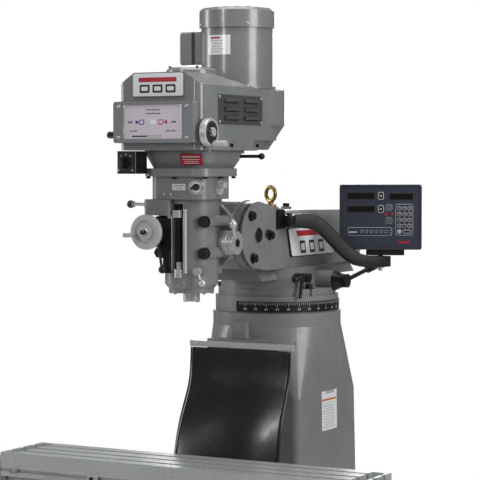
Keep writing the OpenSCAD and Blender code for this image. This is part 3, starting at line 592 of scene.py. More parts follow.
def louvreHood(bm, at, w, h, d, finish):
    # a pressed hood: closed above, open below
    steps = 8
    rows = []
    for k in range(steps + 1):
        a = math.pi / 2 * k / steps
        y, z = h / 2 - h * (1 - math.cos(a)) * 0.9, d * math.sin(a)
        half, crown = w / 2, y + 0.0012 * math.sin(a)
        ends = 0.012 * (1 - k / steps) ** 1.5
        rows.append(addRing(bm, [at @ Vector((-half + ends, y, z)), at @ Vector((-half * 0.55, crown, z + 0.0004)),
                                 at @ Vector((half * 0.55, crown, z + 0.0004)), at @ Vector((half - ends, y, z))]))
    for low, high in zip(rows, rows[1:]):
        bridge(bm, low, high, finish, False)
    low = addRing(bm, [at @ Vector((p, -h / 2 + 0.001, 0.0004)) for p in (-w / 2, -w / 4, w / 4, w / 2)])
    for side, foot in (([r[0] for r in rows], low[0]), ([r[-1] for r in rows], low[-1])):
        for a, b in zip(side, side[1:]):
            f = bm.faces.new((a, b, foot))
            f.material_index, f.smooth = finish, True


def buildLouvre(bm):
    at = planeAt((louvre["x"] + 0.0002, louvre["y"], louvre["z"]), (1, 0, 0))
    addSlab(bm, at, roundedOutline(louvre["w"], louvre["h"], 0.007), 0.0018, 0.0006, 0)
    for col in (-1, 1):
        for row in (-1, 0, 1):
            spot = at @ Matrix.Translation((col * 0.060, row * 0.0255 + 0.001, 0.0018))
            # a dark strip under each hood: painted shade in place of the opening behind it
            addSlab(bm, spot @ Matrix.Translation((0, -0.0035, 0)), roundedOutline(0.084, 0.0085, 0.003),
                    0.0002, 0.00005, 2)
            louvreHood(bm, spot, 0.088, 0.0135, 0.0080, 0)
    for x in (-1, 1):
        for y in (-1, 1):
            addScrew(bm, at @ Matrix.Translation((x * 0.1285, y * 0.0365, 0.0018)), 0.0046, 0.0026, 1, 2)


beltScrews = {"side": 0.140, "rows": (-0.70, -0.56, -0.40), "z": 1.676, "capCircle": 0.066, "capTop": 1.9079}


def buildBeltScrews(bm):
    for y in beltScrews["rows"]:  # lower flange bolts on both sides
        for s in (-1, 1):
            addCapScrew(bm, planeAt((s * beltScrews["side"], y, beltScrews["z"]), (s, 0, 0)), 0.0062, 0.005, 0, 1)
    for x, y in boltCircle(beltScrews["capCircle"], 4, 45):  # cap ring screws round the drawbar cover
        addCapScrew(bm, planeAt((x, spindleY + y, beltScrews["capTop"]), (0, 0, 1), (0, 1, 0)), 0.0045, 0.004, 0, 1)
    addTube(bm, [(-0.139, -0.640, 1.706), (-0.147, -0.640, 1.706), (-0.150, -0.640, 1.706)], 0.0095, 20, 0)


makePiece("front_badge", buildFrontBadge, [whiteEnamel, inkRed, inkDark], "head")
makePiece("louvre_plate", buildLouvre, [louvreGrey, turned, inkDark], "head")
makePiece("belt_housing_screws", buildBeltScrews, [blackSteel, inkDark], "head")


def buildSeams(bm):
    # raised flange lines where the housing parts meet
    for s in (-1, 1):
        addSlab(bm, planeAt((s * 0.1398, -0.560, 1.6665), (s, 0, 0)), roundedOutline(0.318, 0.011, 0.003),
                0.0028, 0.001, 0)
    for z, r0, r1 in ((1.8535, 0.1235, 0.1255), (1.857, 0.1225, 0.1215)):
        addLathe(bm, planeAt((0, motorY, z - 0.0015), (0, 0, 1), (0, 1, 0)),
                 [(r0, 0), (r1, 0.0012), (r1, 0.0030), (r0, 0.0042)], 72, 0)


makePiece("housing_flanges", buildSeams, [sheetGrey], "head")
print("belt housing details done")


# speed panel: dial plate in a bright frame, screws, stub knob on the left

dial = {"w": 0.190, "h": 0.094, "z": 1.7425, "y": -0.7731}


def arrowOutline(size, way):
    return [(way * size, 0.0), (-way * size * 0.4, size * 0.75 * way), (-way * size * 0.4, -size * 0.75 * way)]


def buildDial(bm):
    at = planeAt((0, dial["y"], dial["z"]), (0, -1, 0))
    addSlab(bm, at, roundedOutline(dial["w"], dial["h"], 0.003), 0.0014, 0.0004, 0)
    up = at @ Matrix.Translation((0, 0, 0.00145))

    def spot(x, y):
        return up @ Matrix.Translation((x, y, 0))
    for y, w in ((0.0355, 0.050), (0.0245, 0.050)):  # two short lines of plain dashes
        for k in range(5):
            addBox(bm, spot((k - 2) * w / 5, y), w / 5 * 0.72, 0.0032, 0, 0.0002, 3)
    addSlab(bm, spot(-0.055, 0.0), arrowOutline(0.0085, 1), 0.0003, 0.0001, 2)
    addSlab(bm, spot(-0.038, 0.0), roundedOutline(0.017, 0.015, 0.003), 0.0003, 0.0001, 2)
    addSlab(bm, spot(-0.038, 0.0) @ Matrix.Translation((0, 0, 0.0003)), roundedOutline(0.012, 0.010, 0.002), 0.0002,
            0.0001, 0)
    addSlab(bm, spot(0.045, 0.0), arrowOutline(0.0085, -1), 0.0003, 0.0001, 1)
    addSlab(bm, spot(0.027, 0.0), roundedOutline(0.017, 0.015, 0.003), 0.0003, 0.0001, 1)
    addSlab(bm, spot(0.027, 0.0) @ Matrix.Translation((0, 0, 0.0003)), roundedOutline(0.012, 0.010, 0.002), 0.0002,
            0.0001, 0)
    addSlab(bm, spot(0.0, 0.0), roundedOutline(0.020, 0.013, 0.004), 0.0003, 0.0001, 4)
    for x in (-0.077, 0.070):
        for k in range(3):
            addBox(bm, spot(x + (k - 1) * 0.0055, 0.0), 0.004, 0.0052, 0, 0.0002, 3)
    addText(bm, spot(-0.066, -0.026), "60 500", 0.0085, 3)
    addText(bm, spot(0.060, -0.026), "500 4200", 0.0085, 3)
    addBox(bm, spot(-0.045, -0.041), 0.052, 0.0040, 0, 0.0002, 3)
    addSlab(bm, spot(0.005, -0.041), roundedOutline(0.042, 0.006, 0.001), 0.0002, 0.0001, 3)
    addSlab(bm, spot(0.005, -0.041) @ Matrix.Translation((0, 0, 0.0002)), roundedOutline(0.040, 0.0042, 0.001),
            0.0002, 0.0001, 0)


def buildPanelTrim(bm):
    at = planeAt((0, -0.7762, 1.7425), (0, -1, 0))
    for x in (-0.115, 0.115):
        for y in (-0.045, 0.045):
            addScrew(bm, at @ Matrix.Translation((x, y, 0)), 0.0052, 0.0026, 0, 1)
    addTube(bm, [(-0.1352, -0.752, 1.706), (-0.140, -0.752, 1.706), (-0.141, -0.752, 1.706),
                 (-0.164, -0.752, 1.706),
                 (-0.168, -0.752, 1.706)], [0.007, 0.007, 0.010, 0.0105, 0.008], 24, 1)


def buildDialFrame(bm):
    # a thin bright frame round the dial plate
    at = planeAt((0, -0.7731, dial["z"]), (0, -1, 0))
    w, h = dial["w"] + 0.003, dial["h"] + 0.002
    for x in (-1, 1):
        addSlab(bm, at @ Matrix.Translation((x * (w / 2), 0, 0)), roundedOutline(0.0032, h + 0.003, 0.0010), 0.0042,
                0.0008, 0)
    for y in (-1, 1):
        addSlab(bm, at @ Matrix.Translation((0, y * (h / 2), 0)), roundedOutline(w, 0.0026, 0.0008), 0.0034, 0.0008,
                0)


makePiece("speed_dial_frame", buildDialFrame, [turned], "head")
makePiece("speed_dial_plate", buildDial, [paleDial, inkRed, inkBlue, inkDark, whiteEnamel], "head")
makePiece("speed_panel_trim", buildPanelTrim, [turned, blackPlastic], "head")


def buildWheelHub(bm):
    # the speed handwheel's dark hub disc with its plain pointer marks
    at = planeAt((0.1695, -0.727, 1.712), (1, 0, 0))
    addLathe(bm, at, [(0.0300, -0.004), (0.0300, 0.0016), (0.0288, 0.0026), (0.012, 0.0032)], 40, 0)
    for k in range(3):
        addBox(bm, at @ Matrix.Translation((0, 0.012 - k * 0.010, 0.0028)), 0.026 - abs(k - 1) * 0.003, 0.0035, 0,
               0.0004, 1)


def buildFineFeedHub(bm):
    # dark stub on the fine feed handwheel and a turned ring round it
    at = planeAt((-0.068, -0.7098, 1.420), (0, -1, 0))
    addLathe(bm, at, [(0.0125, -0.002), (0.0125, 0.0008), (0.0112, 0.0016)], 32, 1)
    addLathe(bm, at @ Matrix.Translation((0, 0, 0.0012)),
             [(0.0075, 0), (0.0075, 0.014), (0.0066, 0.0165), (0.003, 0.0172)], 28, 0)


def buildSelectorBall(bm):
    # phenolic ball on the feed selector's stem
    at = planeAt((-0.171, -0.622, 1.500), (-1, 0, 0))
    r = 0.0122
    addLathe(bm, at, [(max(r * math.sin(math.radians(a)), 0.0012),
                       -r * math.cos(math.radians(a))) for a in range(6, 180, 12)], 32, 0)


def buildDriveGrip(bm):
    # long moulded grip over the end of the ram lever
    a, b = Vector((0.227, 0.210, 1.2723)), Vector((0.227, 0.318, 1.2903))
    at = planeAt(a, b - a)
    n = (b - a).length
    addLathe(bm, at, [(0.0080, -0.002), (0.0105, 0.004), (0.0128, 0.020), (0.0138, n * 0.5), (0.0140, n * 0.85),
                      (0.0132, n * 0.95),
                      (0.0105, n + 0.003), (0.0055, n + 0.006), (0.0015, n + 0.0068)], 32, 0)


makePiece("fine_feed_hub", buildFineFeedHub, [blackPlastic, turned], "fine_feed")
makePiece("selector_ball", buildSelectorBall, [blackPlastic], "feed_select")
makePiece("drive_lever_grip", buildDriveGrip, [blackPlastic], "ram_lever")
makePiece("speed_wheel_hub", buildWheelHub, [inkDark, tickWhite], "speed_wheel")


switchPlate = {"at": (-0.1175, -0.7352, 1.626), "size": 0.056, "marks": (-40, 0, 40), "markR": 0.0235}


def buildSwitchPlate(bm):
    at = planeAt(switchPlate["at"], (0, -1, 0))
    addSlab(bm, at, roundedOutline(switchPlate["size"], switchPlate["size"], 0.004), 0.0008, 0.0003, 0)
    for a in switchPlate["marks"]:
        up, r = math.radians(90 + a), switchPlate["markR"]
        mark = at @ Matrix.Translation((r * math.cos(up), r * math.sin(up),
                                        0.0008)) @ Matrix.Rotation(math.radians(a), 4, "Z")
        addBox(bm, mark, 0.0022, 0.006, 0, 0.0002, 1)
    for x in (-1, 1):
        addScrew(bm, at @ Matrix.Translation((x * 0.0235, -0.0235, 0.0008)), 0.0028, 0.0014, 2, 1)


makePiece("switch_plate", buildSwitchPlate, [inkDark, tickWhite, turned], "head")
print("speed panel details done")


# nameplates, all blank apart from plain bars and rules

def blankPlate(bm, at, w, h, r, rows, finish=0, thick=0.0012):
    # rows are (x, y, width, height, finish), as shares of the plate's size
    addSlab(bm, at, roundedOutline(w, h, r), thick, 0.0004, finish)
    for x, y, lw, lh, tone in rows:
        addBox(bm, at @ Matrix.Translation((x * w, y * h, thick + 0.00005)), lw * w, lh * h, 0, 0.0002, tone)


def buildHousingPlate(bm):
    blankPlate(bm, planeAt((0.062, -0.6595, 1.634), (0.10, -1, -0.28)), 0.072, 0.034, 0.003,
               [(0, 0.26, 0.8, 0.10, 1), (0, 0.02, 0.8, 0.06, 1), (0, -0.16, 0.6, 0.06, 1),
                (0, -0.32, 0.7, 0.06, 1)])


def buildGearPlate(bm):
    blankPlate(bm, planeAt((0.014, -0.6502, 1.553), (0, -1, 0)), 0.046, 0.019, 0.002,
               [(0, 0.2, 0.7, 0.12, 1), (0.0, -0.18, 0.5, 0.10, 1)])
    for x in (-0.0055, 0.0335):
        addScrew(bm, planeAt((x, -0.6514, 1.553), (0, -1, 0)), 0.0022, 0.0010, 2, 1)
    knob = planeAt((0.071, -0.6455, 1.553), (0.34, -1, 0))  # bezel and pointer knob on the corner
    addLathe(bm, knob, [(0.0235, -0.004), (0.0235, 0.004), (0.0222, 0.0062), (0.0185, 0.0066), (0.0172, 0.0042)],
             48, 2)
    addLathe(bm, knob @ Matrix.Translation((0, 0, 0.004)), [(0.0165, 0), (0.0165, 0.0012)], 40, 0)
    addLathe(bm, knob @ Matrix.Translation((0, 0, 0.005)),
             [(0.0105, 0), (0.0100, 0.012), (0.0085, 0.0145), (0.004, 0.0152)], 32, 1)
    addSlab(bm, knob @ Matrix.Translation((0, 0, 0.017)) @ Matrix.Rotation(math.radians(18), 4, "Z"),
            roundedOutline(0.028, 0.0085, 0.003), 0.0055, 0.0014, 1)


def curvedPlate(bm, radius, centre, angle, width, z, height, finish, lift=0.0006, steps=14):
    # a thin plate wrapped round a vertical cylinder
    span = width / radius
    faces = []
    for r in (radius + 0.0001, radius + lift):
        turns = [angle - span / 2 + span * k / steps for k in range(steps + 1)]
        row = [(centre[0] + r * math.cos(a), centre[1] + r * math.sin(a)) for a in turns]
        faces.append([addRing(bm, [(x, y, z + s * height / 2) for x, y in row]) for s in (-1, 1)])
    inner, outer = faces
    loops = [(outer[0], outer[1]), (inner[1], inner[0]), (inner[0], outer[0]), (outer[1], inner[1])]
    for a, b in loops:
        bridge(bm, a, b, finish, False)
    for k in (0, -1):
        f = bm.faces.new((inner[0][k], outer[0][k], outer[1][k], inner[1][k]))
        f.material_index = finish


def buildMotorPlate(bm):
    a = math.radians(-92)
    curvedPlate(bm, 0.112, (0, motorY), a, 0.080, 1.987, 0.060, 0)
    curvedPlate(bm, 0.1127, (0, motorY), a - 0.10, 0.036, 2.009, 0.005, 1)
    for k in range(5):
        curvedPlate(bm, 0.1127, (0, motorY), a - 0.06 + 0.03 * (k % 2), 0.046 - 0.006 * (k % 3), 2.000 - k * 0.0085,
                    0.0020, 2)


makePiece("housing_plate", buildHousingPlate, [inkRed, tickWhite], "head")
makePiece("gear_case_plate", buildGearPlate, [whiteEnamel, inkDark, turned], "head")
makePiece("motor_plate", buildMotorPlate, [whiteEnamel, inkRed, inkGrey], "head")


columnLabel = {"x": 0.1815, "y": 0.019, "z": 0.834, "w": 0.110, "h": 0.146}


def buildColumnLabel(bm):
    # white service label low on the column's right side
    at = planeAt((columnLabel["x"], columnLabel["y"], columnLabel["z"]), (1, 0, 0.016))
    addSlab(bm, at, roundedOutline(columnLabel["w"], columnLabel["h"], 0.003), 0.0006, 0.0002, 0)
    addBox(bm, at @ Matrix.Translation((0, 0.026, 0.0006)), 0.106, 0.006, 0, 0.0002, 1)
    addBox(bm, at @ Matrix.Translation((0.006, 0.050, 0.0006)), 0.060, 0.010, 0, 0.0002, 2)
    for k in range(10):
        addBox(bm, at @ Matrix.Translation((-0.004 * (k % 2), 0.014 - k * 0.0085, 0.0006)), 0.088 - 0.010 * (k % 3),
               0.0022, 0, 0.0001, 2)


makePiece("column_label", buildColumnLabel, [whiteEnamel, inkOrange, inkGrey], "frame")


def buildColumnPad(bm):
    # a plain cast lozenge on the pad under the turret
    at = planeAt((-0.025, -0.2171, 1.093), (0, -1, 0))
    addSlab(bm, at, [(0.022, 0), (0, 0.020), (-0.022, 0), (0, -0.020)], 0.003, 0.001, 0)
    addSlab(bm, at @ Matrix.Translation((0, 0, 0.003)), [(0.011, 0), (0, 0.010), (-0.011, 0), (0, -0.010)], 0.0015,
            0.0005, 0)


makePiece("column_lozenge", buildColumnPad, [columnGrey], "frame")
print("plates done")


# ram: slanted badge on each side, cheek plugs and the degree scale round the cheek

ramBadge = {"y0": -0.147, "y1": 0.186, "z0": 1.324, "z1": 1.418, "slant": 0.045, "x": 0.1102}


def slantOutline(w, h, slant, r=0.010, inset=0.0):
    corners = [(w / 2 - inset, -h / 2 + inset), (w / 2 - slant - inset, h / 2 - inset),
               (-w / 2 + inset, h / 2 - inset), (-w / 2 + slant * 0.55 + inset, -h / 2 + inset)]
    points = []
    for i, c in enumerate(corners):
        c = Vector(c)
        a = (Vector(corners[i - 1]) - c).normalized()
        b = (Vector(corners[(i + 1) % 4]) - c).normalized()
        for k in range(5):
            t = k / 4
            points.append(tuple((c + a * r * (1 - t) ** 2 + b * r * t ** 2)))
    return points


def buildRamBadges(bm):
    w, h = ramBadge["y1"] - ramBadge["y0"], ramBadge["z1"] - ramBadge["z0"]
    mid = ((ramBadge["y1"] + ramBadge["y0"]) / 2, (ramBadge["z1"] + ramBadge["z0"]) / 2)
    for s in (1, -1):
        at = planeAt((s * ramBadge["x"], mid[0], mid[1]), (s, 0, 0))
        if s < 0:
            at = at @ Matrix.Scale(-1, 4, (1, 0, 0))
        addSlab(bm, at, slantOutline(w, h, ramBadge["slant"]), 0.006, 0.0015, 3)
        face = at @ Matrix.Translation((0, 0, 0.0061))
        addSlab(bm, face, slantOutline(w, h, ramBadge["slant"], 0.009, 0.003), 0.0012, 0.0005, 0)
        top = face @ Matrix.Translation((0, 0, 0.00125))
        addSlab(bm, top @ Matrix.Translation((-0.025, 0.028, 0)),
                [(0.088, -0.009), (0.078, 0.009), (-0.088, 0.009), (-0.078, -0.009)], 0.0005, 0.0002, 1)
        for k in range(3):
            x = -0.075 + k * 0.066
            addSlab(bm, top @ Matrix.Translation((x + 0.010, -0.016, 0)),
                    [(0.024, -0.020), (0.014, 0.020), (-0.024, 0.020), (-0.014, -0.020)], 0.0005, 0.0002, 2)
            addSlab(bm, top @ Matrix.Translation((x + 0.010, -0.016, 0.0005)),
                    [(0.015, -0.011), (0.010, 0.011), (-0.015, 0.011), (-0.010, -0.011)], 0.0003, 0.0001, 0)


makePiece("ram_badges", buildRamBadges, [whiteEnamel, inkRed, inkDark, blackSteel], "ram")


cheekX = 0.1202  # outer face of each cheek


def buildCheekDetails(bm):
    # the nod pin's cover, a ring and a dished disc, with a hexagon plug behind it
    for s in (-1, 1):
        centre = Vector((s * cheekX, nodY, nodZ))
        ring = planeAt(centre + Vector((s * 0.003, 0, 0)), (s, 0, 0))
        addLathe(bm, ring, [(0.0225, 0), (0.0225, 0.0015), (0.0205, 0.0028), (0.0172, 0.0028), (0.0160, 0.0012),
                            (0.009, 0.0014), (0.0085, 0.0022)], 40, 0)
        addLathe(bm, planeAt(centre + Vector((0, 0.060, 0.002)), (s, 0, 0)),
                 [(0.0145, 0), (0.0145, 0.0022), (0.0125, 0.0035)], 6, 1)


makePiece("cheek_plugs", buildCheekDetails, [blackSteel, inkDark], "ram")


cheekBand = {"r": 0.1034, "x0": 0.1085, "x1": 0.1195, "from": 112, "to": 248}


def buildCheekScale(bm):
    # black degree band round the front rim of each cheek, marked every four degrees
    for s in (-1, 1):
        rows = [[], []]
        for k in range(41):
            a = math.radians(cheekBand["from"] + (cheekBand["to"] - cheekBand["from"]) * k / 40)
            for row, x in zip(rows, (cheekBand["x0"], cheekBand["x1"])):
                row.append(((s * x, nodY + cheekBand["r"] * math.cos(a), nodZ + cheekBand["r"] * math.sin(a)),
                            (s * x, nodY + (cheekBand["r"] - 0.0003) * math.cos(a),
                             nodZ + (cheekBand["r"] - 0.0003) * math.sin(a))))
        top = [addRing(bm, [p[0] for p in row]) for row in rows]
        low = [addRing(bm, [p[1] for p in row]) for row in rows]
        for a, b in ((top[0], top[1]), (low[1], low[0]), (top[1], low[1]), (low[0], top[0])):
            bridge(bm, a, b, 0, False)
        for k in (0, -1):
            bm.faces.new((top[0][k], top[1][k], low[1][k], low[0][k]))
        for deg in range(cheekBand["from"] + 4, cheekBand["to"] - 3, 4):
            a = math.radians(deg)
            out = Vector((0, math.cos(a), math.sin(a)))
            long = (deg - cheekBand["from"]) % 20 == 0
            middle = Vector((s * (0.1155 - (0.002 if long else 0)), nodY, nodZ))
            at = planeAt(middle + out * (cheekBand["r"] + 0.0001), out, (1, 0, 0))
            addBox(bm, at, 0.0013, 0.0080 if long else 0.0048, 0, 0.0003, 1)


makePiece("cheek_scale_band", buildCheekScale, [inkDark, tickWhite], "ram")


# turret scale: marks every two degrees, longer ones with numerals at ten

turretScale = {"r": 0.2031, "top": 1.1815, "reach": 86, "turn": -12}


def buildTurretMarks(bm):
    r = turretScale["r"]
    for deg in range(-turretScale["reach"], turretScale["reach"] + 1, 2):
        a = math.radians(deg + turretScale["turn"])
        out = Vector((math.cos(a), math.sin(a), 0))
        tall = 0.012 if deg % 10 == 0 else 0.007
        at = planeAt(Vector((0, 0, turretScale["top"] - tall / 2)) + out * r, out)
        addBox(bm, at, 0.0011, tall, 0, 0.0003, 0)
        if deg % 10 == 0:
            addText(bm, planeAt(Vector((0, 0, 1.1605)) + out * (r + 0.0001), out), str(abs(deg)), 0.0105, 0, 0.0002)


makePiece("turret_scale_marks", buildTurretMarks, [tickWhite], "turret")
print("ram and turret details done")


# readout arm: a deep cast arm that drops towards the display

armLine = [(0.152, -0.205, 1.444, 0.028, 0.024), (0.160, -0.193, 1.4435, 0.040, 0.026),
           (0.174, -0.173, 1.4425, 0.045, 0.025),
           (0.192, -0.147, 1.4400, 0.046, 0.024), (0.206, -0.126, 1.4330, 0.045, 0.024),
           (0.219, -0.108, 1.4190, 0.043, 0.024),
           (0.233, -0.088, 1.3975, 0.042, 0.024), (0.248, -0.067, 1.3730, 0.042, 0.025),
           (0.262, -0.046, 1.3500, 0.042, 0.026),
           (0.276, -0.026, 1.3310, 0.041, 0.029), (0.290, -0.006, 1.3170, 0.040, 0.033),
           (0.304, 0.014, 1.3110, 0.038, 0.038),
           (0.322, 0.040, 1.3090, 0.036, 0.042), (0.340, 0.066, 1.3085, 0.036, 0.042),
           (0.356, 0.089, 1.3085, 0.034, 0.036)]


def buildArm(bm):
    rings = []
    for i, (x, y, z, tall, wide) in enumerate(armLine):
        a, b = armLine[max(i - 1, 0)], armLine[min(i + 1, len(armLine) - 1)]
        along = (Vector(b[:3]) - Vector(a[:3])).normalized()
        side = along.cross(Vector((0, 0, 1))).normalized()
        up = side.cross(along)
        rings.append(addRing(bm, [Vector((x, y, z)) + side * u + up * v for u,
                                  v in roundedOutline(wide, tall, 0.0036, 4)]))
    for low, high in zip(rings, rings[1:]):
        bridge(bm, low, high, 0)
    cap(bm, rings[-1], 0)
    cap(bm, rings[0], 0, True)
    pivot = planeAt((0.152, -0.205, 1.4323), (0, 0, 1), (0, 1, 0))
    addLathe(bm, pivot, [(0.018, 0), (0.019, 0.002), (0.019, 0.0245), (0.017, 0.0270), (0.0105, 0.0285),
                         (0.0100, 0.0240)], 40, 0)
    addCapScrew(bm, planeAt((0.152, -0.205, 1.4602), (0, 0, 1), (0, 1, 0)), 0.0085, 0.008, 1, 2)
    under = planeAt((0.340, 0.066, 1.2905), (0, 0, -1), (0, 1, 0))
    addLathe(bm, under, [(0.0125, -0.002), (0.0125, 0.002), (0.0090, 0.0035), (0.0062, 0.0040), (0.0062, 0.0110),
                         (0.0050, 0.0125)], 32, 3)


arm = makePiece("readout_arm", buildArm, [matteBlack, blackSteel, inkDark, turned], "dro_arm")
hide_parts("dro_arm")


def buildReadoutFoot(bm):
    # the bracket under the display, over the arm's end
    at = planeAt((0.340, 0.066, 1.3290), (0, 0, 1), (0, 1, 0)) @ Matrix.Rotation(math.radians(25), 4, "Z")
    addSlab(bm, at @ Matrix.Translation((0.015, -0.002, 0)), roundedOutline(0.122, 0.046, 0.005), 0.0185, 0.0012, 0)
    for x in (-0.030, 0.058):
        addCapScrew(bm, at @ Matrix.Translation((x, -0.0252, 0.009)) @ Matrix.Rotation(math.radians(90), 4, "X"),
                    0.0042, 0.0035, 1, 2)


makePiece("readout_foot", buildReadoutFoot, [matteBlack, blackSteel, inkDark], "dro")
print("readout arm done")


# digital readout face

readout = {"at": (0.340, 0.066, 1.451), "turn": 25.0, "depth": 0.0271}
turnRad = math.radians(readout["turn"])
faceNormal = Vector((math.sin(turnRad), -math.cos(turnRad), 0))
faceAt = planeAt(Vector(readout["at"]) + faceNormal * readout["depth"], faceNormal)


def buildReadout(bm):
    def spot(x, y, z=0.0):
        return faceAt @ Matrix.Translation((x, y, z))
    addSlab(bm, spot(0, 0), roundedOutline(0.246, 0.192, 0.004), 0.0008, 0.0002, 0)
    up = 0.00085
    for x, y, w in ((-0.062, 0.068, 0.084), (-0.062, 0.026, 0.084), (0.066, 0.066, 0.072)):  # display windows
        addSlab(bm, spot(x, y, up), roundedOutline(w + 0.006, 0.023, 0.002), 0.0006, 0.0003, 4)
        addSlab(bm, spot(x, y, up + 0.0006), roundedOutline(w, 0.018, 0.001), 0.0004, 0.0001, 1)
    for y in (0.068, 0.026):  # axis keys with a white arrow
        addSlab(bm, spot(0.001, y, up), roundedOutline(0.018, 0.024, 0.005), 0.0006, 0.0002, 2)
        addSlab(bm, spot(0.001, y, up + 0.0006), roundedOutline(0.015, 0.021, 0.004), 0.0003, 0.0001, 4)
        addSlab(bm, spot(0.001, y, up + 0.0009), arrowOutline(0.0045, -1), 0.0003, 0.0001, 2)
    addSlab(bm, spot(0.0755, -0.008, up), roundedOutline(0.056, 0.100, 0.008), 0.0005, 0.0002, 3)  # keypad outline
    addSlab(bm, spot(0.0755, -0.008, up + 0.0005), roundedOutline(0.053, 0.097, 0.007), 0.0003, 0.0001, 0)
    keys = ["7", "8", "9", "4", "5", "6", "1", "2", "3", "0", ".", "C"]
    for k, word in enumerate(keys):
        x, y = 0.0595 + (k % 3) * 0.0160, 0.028 - (k // 3) * 0.0185
        addLathe(bm, spot(x, y, up + 0.0008), [(0.0068, 0), (0.0068, 0.0004), (0.0058, 0.0009)], 24, 3)
        addLathe(bm, spot(x, y, up + 0.0016), [(0.0052, 0), (0.0050, 0.0004)], 24, 4)
        addText(bm, spot(x, y, up + 0.0020), word, 0.0066, 2)
    addLathe(bm, spot(0.0595, -0.046, up + 0.0008), [(0.0068, 0), (0.0068, 0.0004), (0.0058, 0.0009)], 24, 3)
    addSlab(bm, spot(0.0835, -0.046, up + 0.0008), roundedOutline(0.026, 0.012, 0.005), 0.0009, 0.0003, 3)
    addSlab(bm, spot(0.0835, -0.046, up + 0.0017), roundedOutline(0.022, 0.008, 0.003), 0.0003, 0.0001, 4)
    for s in (-1, 1):  # framed half-and-preset keys above and below the two red lamps
        addSlab(bm, spot(0.0265, 0.010 + s * 0.021, up), roundedOutline(0.021, 0.020, 0.005), 0.0005, 0.0002, 3)
        addSlab(bm, spot(0.0265, 0.010 + s * 0.021, up + 0.0005), roundedOutline(0.0185, 0.0175, 0.004), 0.0003,
                0.0001, 0)
        addSlab(bm, spot(0.0265, 0.010 + s * 0.021, up + 0.0008), roundedOutline(0.009, 0.010, 0.002), 0.0003,
                0.0001, 3)
        addSlab(bm, spot(0.0265, 0.010 + s * 0.021, up + 0.0011), roundedOutline(0.0065, 0.0075, 0.0015), 0.0003,
                0.0001, 4)
        addLathe(bm, spot(0.0265 + s * 0.010, 0.010, up), [(0.0042, 0), (0.0040, 0.0008), (0.0025, 0.0013)], 20, 5)
    addSlab(bm, spot(-0.034, -0.046, up), roundedOutline(0.140, 0.027, 0.005), 0.0005, 0.0002, 3)  # function strip
    addSlab(bm, spot(-0.034, -0.046, up + 0.0005), roundedOutline(0.1375, 0.0245, 0.004), 0.0003, 0.0001, 0)
    for k in range(7):
        x = -0.060 + k * 0.0155
        addLathe(bm, spot(x, -0.046, up + 0.0008), [(0.0052, 0), (0.0050, 0.0004)], 6 + (k % 3) * 4, 3)
        addLathe(bm, spot(x, -0.046, up + 0.0012), [(0.0040, 0), (0.0038, 0.0003)], 6 + (k % 3) * 4, 4)
    addBox(bm, spot(-0.088, -0.048, up + 0.0008), 0.026, 0.005, 0, 0.0003, 3)
    addBox(bm, spot(0.074, -0.080, up), 0.036, 0.006, 0, 0.0003, 5)


makePiece("readout_face", buildReadout, [readoutFace, darkGlass, tickWhite, inkGrey, inkDark, inkRed], "dro")


def buildReadoutBack(bm):
    back = planeAt(Vector(readout["at"]) - faceNormal * 0.0301 + faceNormal * 0.004, -faceNormal)
    for k in range(9):  # vents as dark strips (painted shade in place of openings), a rating plate and two sockets on the back
        addSlab(bm, back @ Matrix.Translation((-0.060 + k * 0.015, 0.060, 0.0001)),
                roundedOutline(0.006, 0.040, 0.003), 0.0012, 0.0004, 0)
    addSlab(bm, back @ Matrix.Translation((0, -0.005, 0.0001)), roundedOutline(0.090, 0.045, 0.003), 0.0008, 0.0003,
            1)
    for x in (-0.07, -0.02, 0.03):
        addLathe(bm, back @ Matrix.Translation((x, -0.070, 0.0001)),
                 [(0.010, 0), (0.010, 0.003), (0.008, 0.0035), (0.007, 0.0025)], 24, 2)


makePiece("readout_back", buildReadoutBack, [inkDark, tickWhite, turned], "dro")
print("readout done")


# head details: screws, stop scale, flange bolts, oilers and the quill hub

headTrim = {"barrel": 0.08, "plugs": ((-0.030, 1.300), (0.020, 1.268), (-0.045, 1.268)), "scaleX": 0.0265,
            "scaleFoot": 1.302, "scaleMarks": 38, "scaleStep": 0.005, "noseCircle": 0.062, "noseZ": 1.2358}


def buildHeadDetails(bm):
    for x, z in headTrim["plugs"]:
        y = math.sqrt(headTrim["barrel"] ** 2 - x * x)
        addScrew(bm, planeAt((x, spindleY - y - 0.0003, z), (x, -y, 0)), 0.0042, 0.0022, 0, 1)
    for s in (-1, 1):  # two guide strips beside the stop slot
        at = planeAt((s * 0.0205, -0.6330, 1.392), (0, -1, 0))
        addSlab(bm, at, roundedOutline(0.0034, 0.196, 0.0012), 0.0028, 0.0008, 0)
    addBox(bm, planeAt((headTrim["scaleX"], -0.6318, 1.392), (0.12, -1, 0)), 0.0075, 0.190, 0, 0.0006, 2)
    for k in range(headTrim["scaleMarks"]):
        z = headTrim["scaleFoot"] + k * headTrim["scaleStep"]
        long = 0.0070 if k % 5 == 0 else 0.0040
        addBox(bm, planeAt((headTrim["scaleX"], -0.6324, z), (0.12, -1, 0)), long, 0.0006, 0, 0.0002, 1)
    for x, y in boltCircle(headTrim["noseCircle"], 8, 22.5):  # bolts under the nose of the quill housing
        addCapScrew(bm, planeAt((x, spindleY + y, headTrim["noseZ"]), (0, 0, -1), (0, 1, 0)), 0.0050, 0.0040, 0, 1)


gearCase = {"flange": ((-0.098, -0.640), (0.098, -0.640), (-0.098, -0.470), (0.098, -0.470), (0.0, -0.657),
                       (-0.104, -0.555), (0.104, -0.555)), "flangeZ": 1.5838, "oilers": (-0.034, -0.012),
            "boss": (0.0962, -0.560, 1.550), "bossCircle": 0.024}
quillHub = {"y": -0.503, "z": 1.384, "faceX": 0.1302, "dialX": 0.094, "dialR": 0.0366, "marks": 60}


